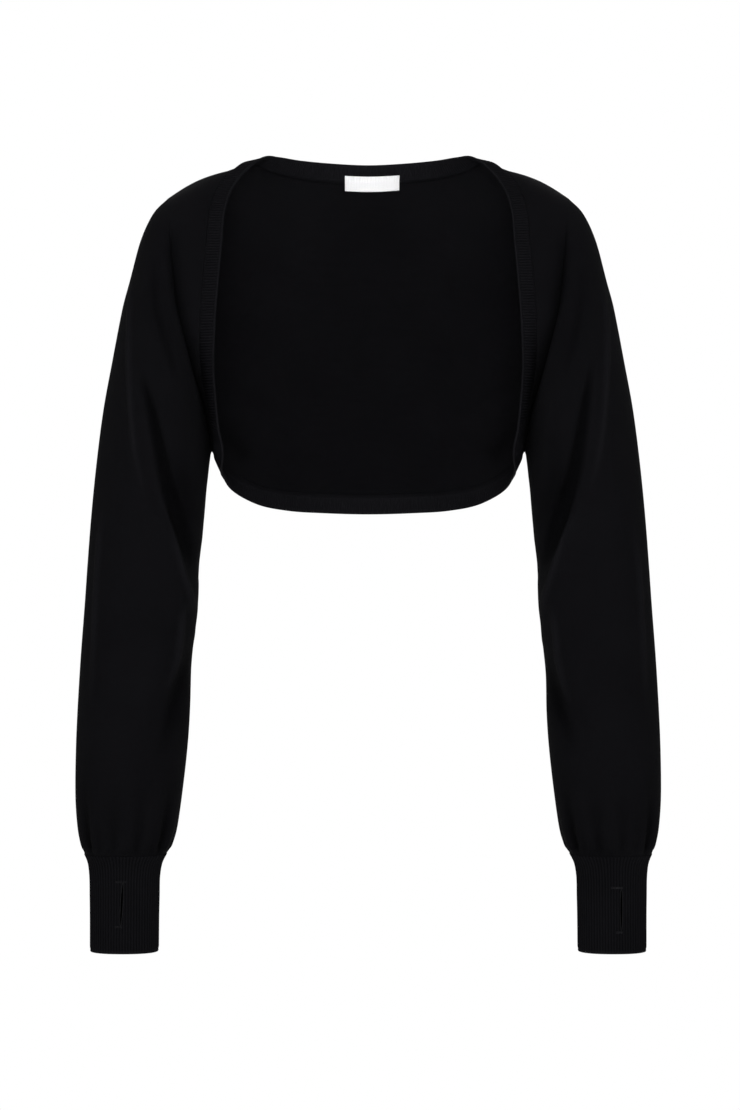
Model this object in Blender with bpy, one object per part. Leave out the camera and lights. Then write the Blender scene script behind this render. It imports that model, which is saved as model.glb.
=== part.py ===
# A knitted shrug in its worn shape: back, two narrow fronts, long full sleeves gathered into ribbed
# cuffs with a thumb slit, and one ribbed band all round the opening. Cloth pieces are hollow walls.
# Metres, +Z up, front towards -Y. The origin lies between the two high points of the neck, where the
# wearer's shoulders carry the garment. "left" and "right" are the wearer's: left is at +X.

import bpy
import bmesh
import numpy as np

MM = 0.001
MIRROR = np.array([-1.0, 1.0, 1.0])

JERSEY_WALL = 2.0 * MM
RIB_WALL = 1.8 * MM
RIB_HEIGHT = 0.6 * MM
SEAM_GAP = 0.3 * MM
MITRE_LIMIT = 0.5
CORNER_LIMIT = 0.2
BAND_WIDTH = 14 * MM

LABEL_SIZE = (52 * MM, 16 * MM)
LABEL_CENTRE_X = 3.5 * MM
LABEL_BELOW_RIM = 9 * MM
LABEL_THICKNESS = 0.8 * MM
LABEL_LIFT = 0.45 * MM
LABEL_COLUMNS = 9

# How many strips of cloth each stretch is divided into; neighbours share these counts at a seam.
SHOULDER_STEPS = 5
NECK_STEPS = 12
FRONT_STEPS = 16
HEM_STEPS = 17
SLEEVE_SIDES = 2 * FRONT_STEPS
SLEEVE_RINGS = 25
NECK_RIBS = 4
FRONT_RIBS = 7
HEM_RIBS = 4
CUFF_RIBS = 2
CURVE_SAMPLES = 240

# The band's free edge, from the centre of the back neck, over the shoulder and down the front edge to
# the centre of the back hem (millimetres), and the way across the band from that edge to its seam.
#             x      y      z     across_x  across_y  across_z
BAND_ROUTE = (
    (0.0, 55.0, -1.2, 0.00, 0.30, -0.95),
    (32.0, 51.5, -0.2, 0.12, 0.29, -0.95),
    (61.0, 40.0, 1.0, 0.30, 0.29, -0.91),
    (81.0, 20.0, 1.4, 0.58, 0.42, -0.66),
    (92.0, 6.0, 0.2, 0.77, 0.57, -0.22),
    (103.0, -2.5, -6.8, 0.81, 0.57, 0.08),
    (108.5, -6.5, -12.6, 0.85, 0.51, 0.12),
    (114.5, -12.0, -20.0, 0.90, 0.41, 0.14),
    (122.5, -20.0, -34.0, 0.95, 0.28, 0.10),
    (127.3, -27.5, -51.0, 0.98, 0.16, 0.05),
    (129.6, -38.0, -81.0, 0.99, 0.10, 0.02),
    (132.4, -45.0, -115.0, 0.99, 0.10, 0.00),
    (135.0, -49.0, -153.0, 0.98, 0.16, 0.00),
    (136.4, -51.0, -183.0, 0.92, 0.38, 0.00),
    (136.2, -51.0, -206.0, 0.78, 0.62, 0.00),
    (134.4, -50.0, -228.0, 0.64, 0.76, 0.05),
    (131.0, -47.5, -250.0, 0.56, 0.76, 0.30),
    (129.0, -42.5, -265.0, 0.60, 0.60, 0.52),
    (129.6, -32.0, -275.0, 0.58, 0.20, 0.79),
    (131.6, -14.0, -281.0, 0.50, 0.02, 0.86),
    (132.4, 10.0, -286.0, 0.42, 0.06, 0.90),
    (130.5, 33.0, -291.0, 0.34, 0.14, 0.93),
    (126.5, 53.5, -298.0, 0.24, 0.18, 0.95),
    (117.5, 70.0, -305.0, 0.15, 0.17, 0.97),
    (101.0, 81.5, -312.8, 0.08, 0.12, 0.99),
    (75.0, 89.5, -317.8, 0.04, 0.08, 0.99),
    (40.0, 94.5, -320.0, 0.02, 0.06, 0.99),
    (0.0, 96.0, -321.0, 0.00, 0.05, 0.99),
)
SHOULDER_ROW = 6
UNDERARM_ROW = 19

# The armhole seam (millimetres): down its front, then down its back, from the shoulder to the armpit.
ARMHOLE_FRONT = (
    (180.0, 6.0, -37.0),
    (178.7, -20.0, -42.5),
    (176.8, -39.0, -62.0),
    (172.5, -48.5, -100.0),
    (165.0, -50.0, -148.0),
    (156.0, -45.0, -186.0),
    (148.5, -35.0, -218.0),
    (143.0, -21.0, -247.0),
    (141.0, -3.0, -266.0),
)
ARMHOLE_BACK = (
    (180.0, 6.0, -37.0),
    (179.8, 34.0, -44.0),
    (178.5, 58.0, -68.0),
    (175.0, 70.0, -105.0),
    (169.0, 72.0, -148.0),
    (160.0, 66.0, -190.0),
    (151.0, 51.0, -228.0),
    (144.5, 26.0, -253.0),
    (141.0, -3.0, -266.0),
)
SHOULDER_RISE = 0.5 * MM
FRONT_SWELL = 0.06

# The middle of the back from the neck seam to the hem seam (millimetres), and the rounding of a
# level section through the back.
#              y      z
BACK_CENTRE = (
    (59.2, -13.8),
    (72.0, -50.0),
    (88.0, -95.0),
    (98.0, -145.0),
    (102.5, -195.0),
    (102.0, -250.0),
    (96.7, -307.1),
)
BACK_ORIGIN_Y = -45 * MM
BACK_FULLNESS = 2.7
TORSO_MIDDLE_Y = 20 * MM
SHOULDER_ARCH_SHARE = 0.40
HEM_BLEND_SHARE = 0.30

# Soft folds of the back, on its left half, mirrored on its right: columns as for the sleeve's folds.
BACK_FOLDS = (
    (1, 160.0, -196.0, 92.0, -232.0, -4.0, 13.0),
    (1, 150.0, -232.0, 96.0, -268.0, -3.5, 11.0),
    (1, 132.0, -40.0, 66.0, -92.0, -3.0, 15.0),
    (1, 34.0, -170.0, 22.0, -292.0, -2.0, 15.0),
)

# The sleeve's sections (millimetres): its outer and inner edge seen from the front, how far it
# reaches forward and back, and how square its section is.
#              outer_x  outer_z  inner_x  inner_z  front_y  back_y  fullness
SLEEVE_SECTIONS = (
    (180.0, -37.0, 141.0, -266.0, -52.0, 72.0, 2.5),
    (193.0, -51.0, 141.7, -268.5, -57.0, 72.0, 2.45),
    (203.6, -74.0, 142.3, -271.0, -62.0, 71.0, 2.4),
    (211.7, -104.0, 142.9, -274.2, -65.0, 69.0, 2.35),
    (220.3, -141.0, 143.4, -279.0, -65.0, 65.0, 2.3),
    (229.0, -184.0, 144.2, -288.0, -62.0, 59.0, 2.25),
    (237.6, -229.0, 145.6, -302.0, -58.0, 53.0, 2.2),
    (244.2, -280.0, 147.4, -327.0, -54.0, 47.0, 2.2),
    (249.5, -335.0, 150.7, -366.0, -51.0, 43.0, 2.2),
    (254.0, -400.0, 154.6, -418.0, -50.0, 40.0, 2.2),
    (258.0, -459.0, 158.0, -470.0, -54.0, 35.0, 2.2),
    (260.8, -519.5, 161.1, -523.5, -59.0, 30.0, 2.2),
    (261.4, -569.0, 165.7, -569.0, -63.0, 26.0, 2.2),
    (259.5, -601.0, 170.4, -601.0, -64.0, 22.0, 2.2),
    (256.2, -617.0, 175.2, -617.0, -61.0, 15.0, 2.2),
    (252.0, -626.0, 180.1, -626.0, -56.0, 5.5, 2.25),
    (248.8, -632.5, 183.8, -632.5, -52.0, -3.0, 2.3),
)
ARMHOLE_BLEND_SECTIONS = 3.5

# Soft folds of the sleeve as straight troughs (negative) and ridges (positive), in millimetres:
# which face they lie on (-1 front, 1 back), both ends seen from the front, height and half width.
#               face   x0      z0      x1      z1     height  width
SLEEVE_FOLDS = (
    (-1, 184.0, -100.0, 169.0, -190.0, -3.0, 9.0),
    (-1, 213.0, -140.0, 211.0, -280.0, 2.5, 16.0),
    (-1, 196.0, -228.0, 181.0, -310.0, -5.0, 12.0),
    (-1, 181.0, -310.0, 158.0, -398.0, -6.0, 11.0),
    (-1, 176.0, -325.0, 156.0, -392.0, 4.0, 8.0),
    (-1, 160.0, -452.0, 186.0, -520.0, -3.5, 12.0),
    (-1, 226.0, -380.0, 232.0, -520.0, 2.0, 18.0),
    (1, 178.0, -110.0, 166.0, -200.0, -3.0, 11.0),
    (1, 200.0, -240.0, 172.0, -330.0, -5.0, 12.0),
    (1, 214.0, -330.0, 170.0, -392.0, -5.0, 12.0),
    (1, 222.0, -420.0, 180.0, -462.0, -3.5, 13.0),
)
GATHERS = 8
GATHER_HEIGHT = 2.2 * MM
GATHER_UNEVENNESS = 0.4
GATHER_START = 8 * MM
GATHER_REACH = 34 * MM

# The ribbed cuff (millimetres), from its seam down to its free edge.
#               outer_x  inner_x   z      front_y  back_y
CUFF_SECTIONS = (
    (248.4, 184.2, -632.9, -51.7, -3.4),
    (247.4, 185.4, -639.0, -50.8, -4.4),
    (246.4, 186.5, -664.0, -50.5, -5.0),
    (246.2, 187.2, -711.6, -50.5, -5.0),
)
CUFF_FULLNESS = 2.25
SLIT_WIDTH = 2.0 * MM
SLIT_DEPTH = 34 * MM
# Each thumb slit: the height of its two ends, its place across the cuff and how it leans.
#                      x          top_z         bottom_z      lean
SLITS = {
    "left": (223.5 * MM, -654 * MM, -690 * MM, 0.0),
    "right": (217.5 * MM, -648.7 * MM, -686.7 * MM, 0.055),
}

KNIT_COLOUR = (0.006, 0.006, 0.007, 1.0)
RIB_COLOUR = (0.007, 0.007, 0.008, 1.0)
LABEL_COLOUR = (0.86, 0.86, 0.86, 1.0)


def clear_scene():
    for thing in list(bpy.data.objects):
        bpy.data.objects.remove(thing, do_unlink=True)


def unit(vectors):
    return vectors / np.linalg.norm(vectors, axis=-1, keepdims=True)


def chord_knots(points):
    return np.append(0.0, np.cumsum(np.linalg.norm(np.diff(points, axis=0), axis=1)))


def spline(knots, rows, at):
    """Values of a smooth curve through the table's rows at the given knot values."""
    slopes = np.gradient(rows, knots, axis=0)
    index = np.clip(np.searchsorted(knots, at, side="right") - 1, 0, len(knots) - 2)
    step = (knots[index + 1] - knots[index])[:, None]
    t = (at - knots[index])[:, None] / step
    start = (1 + 2 * t) * (1 - t) ** 2 * rows[index] + t * (1 - t) ** 2 * step * slopes[index]
    end = t * t * (3 - 2 * t) * rows[index + 1] - t * t * (1 - t) * step * slopes[index + 1]
    return start + end


def evenly(points, steps):
    """Points at equal steps along a polyline; further columns are carried along."""
    lengths = chord_knots(points[:, :3])
    at = np.linspace(0.0, lengths[-1], steps + 1)
    return np.column_stack([np.interp(at, lengths, column) for column in points.T])


def curve_through(rows, steps):
    """Equal steps along a smooth curve through a table of points in millimetres."""
    points = np.array(rows) * MM
    knots = chord_knots(points)
    fine = spline(knots, points, np.linspace(0.0, knots[-1], CURVE_SAMPLES))
    return evenly(fine, steps)


def signed_power(values, exponent):
    return np.sign(values) * np.abs(values) ** exponent


def join_ends(*parts):
    """One row of points from stretches that share their end points."""
    kept = [part[:-1] for part in parts[:-1]]
    return np.concatenate(kept + [parts[-1]])


def mirrored_row(half):
    """A half row that ends on the middle plane, carried on to the other side."""
    return np.concatenate([half, half[-2::-1] * MIRROR])


def band_stations():
    """The band's free edge and seam on the left half, as neck, front and hem stretches."""
    table = np.array(BAND_ROUTE)
    table[:, :3] *= MM
    flip = np.array([-1.0, 1.0, 1.0, -1.0, 1.0, 1.0])
    rows = np.concatenate([table[2:0:-1] * flip, table, table[-2:-4:-1] * flip])
    knots = chord_knots(rows[:, :3])
    ends = (knots[2], knots[2 + SHOULDER_ROW], knots[2 + UNDERARM_ROW], knots[-3])
    stretches = []
    for start, end, steps in zip(ends[:-1], ends[1:], (NECK_STEPS, FRONT_STEPS, HEM_STEPS)):
        line = evenly(spline(knots, rows, np.linspace(start, end, CURVE_SAMPLES)), steps)
        edge = line[:, :3]
        stretches.append((edge, edge + BAND_WIDTH * unit(line[:, 3:])))
    for edge, seam in (stretches[0], stretches[2]):
        middle = 0 if edge is stretches[0][0] else -1
        edge[middle, 0] = 0.0
        seam[middle, 0] = 0.0
    return stretches


def shoulder_seam(neck_end, armhole_top):
    """The ridge of the shoulder, from the armhole in to the band."""
    share = np.linspace(0.0, 1.0, SHOULDER_STEPS + 1)[:, None]
    ridge = armhole_top + (neck_end - armhole_top) * share
    ridge[:, 2] += SHOULDER_RISE * np.sin(np.pi * share[:, 0])
    return ridge


def back_section(armhole, centre):
    """A level, rounded section of the back from the armhole to the middle plane."""
    rise = (armhole[1] - BACK_ORIGIN_Y) / (centre[1] - BACK_ORIGIN_Y)
    half_width = armhole[0] / (1 - rise**BACK_FULLNESS) ** (1 / BACK_FULLNESS)
    x = np.linspace(armhole[0], 0.0, CURVE_SAMPLES)
    depth = (1 - (x / half_width) ** BACK_FULLNESS) ** (1 / BACK_FULLNESS)
    y = BACK_ORIGIN_Y + (centre[1] - BACK_ORIGIN_Y) * depth
    z = centre[2] + (armhole[2] - centre[2]) * (x / armhole[0]) ** 2
    return evenly(np.column_stack([x, y, z]), HEM_STEPS)


def back_panel(neck_seam, hem_seam, armhole, ridge):
    """The back's outer face: rows from the shoulders down to the hem, left to right."""
    rows = FRONT_STEPS + 1
    centre = np.array(BACK_CENTRE) * MM
    centre = np.column_stack([np.zeros(len(centre)), centre])
    centre = curve_through(centre / MM, rows)
    top = join_ends(ridge, neck_seam[::-1])
    side = np.concatenate([armhole, hem_seam[:1]])
    section = [back_section(side[row], centre[row]) for row in range(rows + 1)]
    top_miss = top - section[0]
    hem_miss = hem_seam - section[-1]
    grid = []
    for row in range(rows + 1):
        down = row / rows
        near_top = max(0.0, 1 - down / SHOULDER_ARCH_SHARE)
        arch = 1 - np.sqrt(1 - near_top**2)
        near_hem = max(0.0, 1 - (1 - down) / HEM_BLEND_SHARE)
        blend_top = np.array([near_top**2, arch, near_top**2])
        half = section[row] + top_miss * blend_top + hem_miss * near_hem**2
        away_from_seams = (1 - (half[:, 0] / side[row, 0]) ** 6) * np.sin(np.pi * down) ** 0.5
        sunk = sum(fold_height(half[:, 0], half[:, 2], 1.0, fold) for fold in BACK_FOLDS)
        half[:, 1] += sunk * away_from_seams
        grid.append(mirrored_row(half))
    return np.array(grid)


def front_panel(band_seam, armhole, ridge):
    """A front's outer face: rows from the shoulder down to the armpit, armhole to band."""
    share = np.linspace(0.0, 1.0, SHOULDER_STEPS + 1)
    bow = np.sin(np.pi * share)[:, None]
    middles = (band_seam + armhole) / 2
    downwards = np.gradient(middles, axis=0)
    grid = [ridge]
    for row in range(1, FRONT_STEPS + 1):
        across = band_seam[row] - armhole[row]
        outward = unit(np.cross(downwards[row], across))
        if outward[1] > 0:
            outward = -outward
        line = armhole[row] + across * share[:, None]
        swell = FRONT_SWELL * (1 - row / FRONT_STEPS)
        grid.append(line + outward * bow * swell * np.linalg.norm(across))
    return np.array(grid)


def fold_height(x, z, backward, fold):
    """How far one fold lifts or sinks the cloth at points seen from the front."""
    face, x0, z0, x1, z1, height, width = fold
    run = np.array([x1 - x0, z1 - z0]) * MM
    along = ((x - x0 * MM) * run[0] + (z - z0 * MM) * run[1]) / run.dot(run)
    nearest = np.clip(along, 0.0, 1.0)
    away = np.hypot(x - x0 * MM - nearest * run[0], z - z0 * MM - nearest * run[1])
    facing = np.clip(0.2 + backward * face, 0.0, 1.0) ** 0.5
    return height * MM * np.exp(-((away / (width * MM)) ** 2)) * facing


def superellipse_ring(outer, inner, front_y, back_y, fullness, sides):
    """A ring between two edge points: starts at the outer edge and runs round by the front."""
    angle = np.linspace(0.0, 2 * np.pi, sides, endpoint=False)
    reach = signed_power(np.cos(angle), 2 / fullness)[:, None]
    forward = signed_power(np.sin(angle), 2 / fullness)
    ring = (outer + inner) / 2 + (outer - inner) / 2 * reach
    middle_y = (front_y + back_y) / 2
    ring[:, 1] = middle_y - forward * (back_y - front_y) / 2
    return ring


def sleeve(armhole_loop):
    """The sleeve's outer face: rings from the armhole to the cuff, with its folds and gathers."""
    table = np.array(SLEEVE_SECTIONS)
    table[:, :6] *= MM
    knots = np.arange(len(table), dtype=float)
    at = np.linspace(0.0, knots[-1], SLEEVE_RINGS)
    angle = np.linspace(0.0, 2 * np.pi, SLEEVE_SIDES, endpoint=False)
    forward = np.sin(angle)
    cuff_z = table[-1, 1]
    rings = []
    for section in spline(knots, table, at):
        outer = np.array([section[0], 0.0, section[1]])
        inner = np.array([section[2], 0.0, section[3]])
        rings.append(superellipse_ring(outer, inner, *section[4:7], SLEEVE_SIDES))
    miss = armhole_loop - rings[0]
    for index, ring in enumerate(rings):
        middle = ring.mean(axis=0)
        near_armhole = max(0.0, 1 - at[index] / ARMHOLE_BLEND_SECTIONS)
        x, z = ring[:, 0], ring[:, 2]
        lift = sum(fold_height(x, z, -forward, fold) for fold in SLEEVE_FOLDS)
        above_cuff = z - cuff_z
        swell = np.clip(above_cuff / GATHER_START, 0.0, 1.0) * np.exp(-above_cuff / GATHER_REACH)
        uneven = 1 + GATHER_UNEVENNESS * np.sin(3 * angle + 1)
        gather = GATHER_HEIGHT * swell * uneven * np.cos(GATHERS * angle)
        clear = min(1.0, at[index] / 2)
        lift = (lift * clear * min(1.0, (at[-1] - at[index]) / 2) + gather)[:, None]
        rings[index] = ring + miss * near_armhole**2 + unit(ring - middle) * lift
    return np.array(rings)


def cuff_rings(sides):
    """The cuff's smooth outer face, from its seam down to its free edge."""
    rings = []
    for outer_x, inner_x, z, front_y, back_y in np.array(CUFF_SECTIONS) * MM:
        outer = np.array([outer_x, 0.0, z])
        inner = np.array([inner_x, 0.0, z])
        rings.append(superellipse_ring(outer, inner, front_y, back_y, CUFF_FULLNESS, sides))
    return np.array(rings)


def grid_normals(grid, closed, centres):
    """Outward vertex normals of one face grid, weighted by area."""
    wrapped = np.concatenate([grid, grid[:, :1]], axis=1) if closed else grid
    across = wrapped[:-1, 1:] - wrapped[1:, :-1]
    along = wrapped[1:, 1:] - wrapped[:-1, :-1]
    faces = np.cross(along, across)
    middles = (wrapped[:-1, 1:] + wrapped[1:, :-1]) / 2
    if np.sum(faces * (middles - centres)) < 0:
        faces = -faces
    normals = np.zeros_like(wrapped)
    for rows, columns in ((slice(None, -1), slice(None, -1)), (slice(None, -1), slice(1, None)),
                          (slice(1, None), slice(None, -1)), (slice(1, None), slice(1, None))):
        normals[rows, columns] += faces
    if closed:
        normals[:, 0] += normals[:, -1]
        normals = normals[:, :-1]
    return normals


def torso_middle(grid):
    """For each face of a body piece, the point on the body's upright middle line at its height."""
    return np.array([0.0, TORSO_MIDDLE_Y, 0.0]) + np.array([0.0, 0.0, 1.0]) * grid[:-1, 1:, 2:]


def tube_middle(grid):
    """For each ring of faces of a tube, its centre."""
    middles = grid.mean(axis=1, keepdims=True)
    return (middles[:-1] + middles[1:]) / 2


def place_key(point):
    return tuple(np.round(point / (0.01 * MM)).astype(int))


def limb(name):
    """The tube that a piece belongs to: the body, or one of the arms."""
    return name.split("_")[-1] if name.startswith(("sleeve", "cuff")) else "body"


def ways_through(grids):
    """At each point of every grid: its tube's own normal, and the way through the cloth there.

    Pieces of one tube blend into one normal where they meet. Where an arm meets the body, both
    walls end on the plane half way between them, and the way through is longer, as in a mitre.
    """
    meeting = {}
    for name, (grid, closed, centres) in grids.items():
        normals = unit(grid_normals(grid, closed, centres))
        for point, normal in zip(grid.reshape(-1, 3), normals.reshape(-1, 3)):
            tubes = meeting.setdefault(place_key(point), {})
            tubes[limb(name)] = tubes.get(limb(name), 0) + normal
    found = {}
    for name, (grid, closed, centres) in grids.items():
        own = []
        through = []
        for point in grid.reshape(-1, 3):
            tubes = meeting[place_key(point)]
            middle = sum(unit(tube) for tube in tubes.values()) / len(tubes)
            length = np.linalg.norm(middle)
            own.append(unit(tubes[limb(name)]))
            through.append(middle / length / max(length, MITRE_LIMIT))
        found[name] = (np.array(own).reshape(grid.shape), np.array(through).reshape(grid.shape))
    return found


def border_shift(line, inside, normals, closed):
    """The short way in from a seam: half the gap between pieces, square to the seam."""
    after = unit(np.roll(line, -1, axis=0) - line)
    before = np.roll(after, 1, axis=0)
    if not closed:
        after[-1] = before[-1]
        before[0] = after[0]
    run = unit(before + after)
    bend = np.maximum(np.sum(run * after, axis=1, keepdims=True), MITRE_LIMIT)
    across = unit(np.cross(normals, run))
    inward = np.sign(np.sum(across * (inside - line), axis=1, keepdims=True))
    return across * inward * SEAM_GAP / 2 / bend


def piece_borders(name, grid):
    """The seams of a piece as (rows, columns, rows inside, columns inside, along an armhole)."""
    last_row, last_column = grid.shape[0] - 1, grid.shape[1] - 1
    rows = np.arange(last_row + 1)
    columns = np.arange(last_column + 1)
    top = (0 * columns, columns, 0 * columns + 1, columns, name.startswith("sleeve"))
    bottom = (0 * columns + last_row, columns, 0 * columns + last_row - 1, columns, False)
    borders = [top, bottom]
    if name.startswith("front"):
        borders.append((rows, 0 * rows, rows, 0 * rows + 1, True))
        borders.append((rows, 0 * rows + last_column, rows, 0 * rows + last_column - 1, False))
    if name == "back":
        for column, inner in ((0, 1), (last_column, last_column - 1)):
            armhole, side = rows[:-1], rows[-2:]
            borders.append((armhole, 0 * armhole + column, armhole, 0 * armhole + inner, True))
            borders.append((side, 0 * side + column, side, 0 * side + inner, False))
    return borders


def clear_seams(name, grid, own, through, closed):
    """A grid with half a seam gap taken off each border, with true corners."""
    shift = np.zeros_like(grid)
    for rows, columns, inner_rows, inner_columns, armhole in piece_borders(name, grid):
        normals = unit(through if armhole else own)[rows, columns]
        line = grid[rows, columns]
        step = border_shift(line, grid[inner_rows, inner_columns], normals, closed)
        before = shift[rows, columns]
        agree = np.sum(before * step, axis=1, keepdims=True) / (SEAM_GAP / 2) ** 2
        corner = (before + step) / np.maximum(1 + agree, CORNER_LIMIT)
        shift[rows, columns] = np.where(np.any(before != 0, axis=1, keepdims=True), corner, step)
    return grid + shift


def straighten_side_seam(face):
    """The last row of a front runs straight, as the back's edge beside it does."""
    share = np.linspace(0.0, 1.0, face.shape[1])[:, None]
    face[-1] = face[-1, 0] * (1 - share) + face[-1, -1] * share


def add_points(mesh, points):
    flat = [mesh.verts.new(point) for point in points.reshape(-1, 3)]
    width = points.shape[1]
    return [flat[row * width:(row + 1) * width] for row in range(points.shape[0])]


def add_strip(mesh, first, second, closed):
    """Quads between two rows with the same number of points."""
    count = len(first)
    for index in range(count if closed else count - 1):
        after = (index + 1) % count
        mesh.faces.new((first[index], first[after], second[after], second[index]))


def stitch_rows(mesh, fine, coarse, counts):
    """Triangles between a closed ribbed row and a closed plain row inside it."""
    start = 0
    for index, count in enumerate(counts):
        here = coarse[index]
        beyond = coarse[(index + 1) % len(coarse)]
        half = count // 2
        for step in range(count):
            near = here if step < half else beyond
            mesh.faces.new((fine[start + step], fine[(start + step + 1) % len(fine)], near))
            if step == half:
                mesh.faces.new((fine[start + step], beyond, here))
        start += count


def finish_object(name, mesh, material, collection):
    bmesh.ops.recalc_face_normals(mesh, faces=mesh.faces)
    data = bpy.data.meshes.new(name)
    mesh.to_mesh(data)
    mesh.free()
    data.shade_smooth()
    data.materials.append(material)
    made = bpy.data.objects.new(name, data)
    collection.objects.link(made)
    return made


def plain_wall(name, outer, inner, closed, material, collection):
    """A cloth wall between an outer and an inner face grid of the same shape."""
    mesh = bmesh.new()
    outside = add_points(mesh, outer)
    inside = add_points(mesh, inner)
    for face in (outside, inside):
        for first, second in zip(face[:-1], face[1:]):
            add_strip(mesh, first, second, closed)
    add_strip(mesh, outside[0], inside[0], closed)
    add_strip(mesh, outside[-1], inside[-1], closed)
    if not closed:
        for side in (0, -1):
            add_strip(mesh, [row[side] for row in outside], [row[side] for row in inside], False)
    return finish_object(name, mesh, material, collection)


def ribbed_wall(name, outer, inner, counts, material, collection):
    """A closed ribbed wall: many ribs outside over a plain inside with fewer points."""
    mesh = bmesh.new()
    outside = add_points(mesh, outer)
    inside = add_points(mesh, inner)
    for face in (outside, inside):
        for first, second in zip(face[:-1], face[1:]):
            add_strip(mesh, first, second, True)
    stitch_rows(mesh, outside[0], inside[0], counts)
    stitch_rows(mesh, outside[-1], inside[-1], counts)
    return finish_object(name, mesh, material, collection)


def raise_ribs(grid, normals, counts):
    """Divides each strip into ribs and lifts every second point of the rows."""
    after = np.roll(grid, -1, axis=1)
    turn = np.roll(normals, -1, axis=1)
    columns = []
    for index, count in enumerate(counts):
        for step in range(count):
            share = step / count
            point = grid[:, index] * (1 - share) + after[:, index] * share
            normal = unit(normals[:, index] * (1 - share) + turn[:, index] * share)
            lift = RIB_HEIGHT if step % 2 else 0.0
            columns.append(point + normal * lift)
    return np.stack(columns, axis=1)


def knit_material(name, colour, roughness):
    material = bpy.data.materials.new(name)
    material.use_nodes = True
    shader = material.node_tree.nodes["Principled BSDF"]
    shader.inputs["Base Color"].default_value = colour
    shader.inputs["Roughness"].default_value = roughness
    shader.inputs["Metallic"].default_value = 0.0
    material.diffuse_color = colour
    return material


def cut_slit(cuff, side, cutters):
    """A narrow through slit for the thumb in the front wall of a cuff."""
    x, top_z, bottom_z, lean = SLITS[side]
    sign = 1 if side == "left" else -1
    front_y = CUFF_SECTIONS[-1][3] * MM
    bpy.ops.mesh.primitive_cube_add(size=1.0)
    cutter = bpy.context.object
    cutter.name = f"slit_cutter_{side}"
    cutter.scale = (SLIT_WIDTH, SLIT_DEPTH, top_z - bottom_z)
    cutter.location = (sign * x, front_y, (top_z + bottom_z) / 2)
    cutter.rotation_euler = (0.0, sign * -lean, 0.0)
    cutter.hide_render = True
    cutter.display_type = "WIRE"
    for collection in list(cutter.users_collection):
        collection.objects.unlink(cutter)
    cutters.objects.link(cutter)
    cut = cuff.modifiers.new("thumb_slit", "BOOLEAN")
    cut.operation = "DIFFERENCE"
    cut.object = cutter


def label_grid(band_inner, panel_inner):
    """Points on the inside of the neck behind the label: on the band, at the seam, on the back."""
    half_width = LABEL_SIZE[0] / 2
    share = 1 - LABEL_BELOW_RIM / BAND_WIDTH
    seam, rim = band_inner
    upper = seam + (rim - seam) * share
    below = LABEL_SIZE[1] - BAND_WIDTH * share
    drop = np.linalg.norm(panel_inner[1] - panel_inner[0], axis=1, keepdims=True)
    lower = panel_inner[0] + (panel_inner[1] - panel_inner[0]) * below / drop
    middle = (seam + panel_inner[0]) / 2
    left, right = LABEL_CENTRE_X - half_width, LABEL_CENTRE_X + half_width
    columns = np.linspace(left, right, LABEL_COLUMNS)
    rows = []
    for row in (upper, middle, lower):
        order = np.argsort(row[:, 0])
        y = np.interp(columns, row[order, 0], row[order, 1])
        z = np.interp(columns, row[order, 0], row[order, 2])
        rows.append(np.column_stack([columns, y, z]))
    return np.array(rows)


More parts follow.
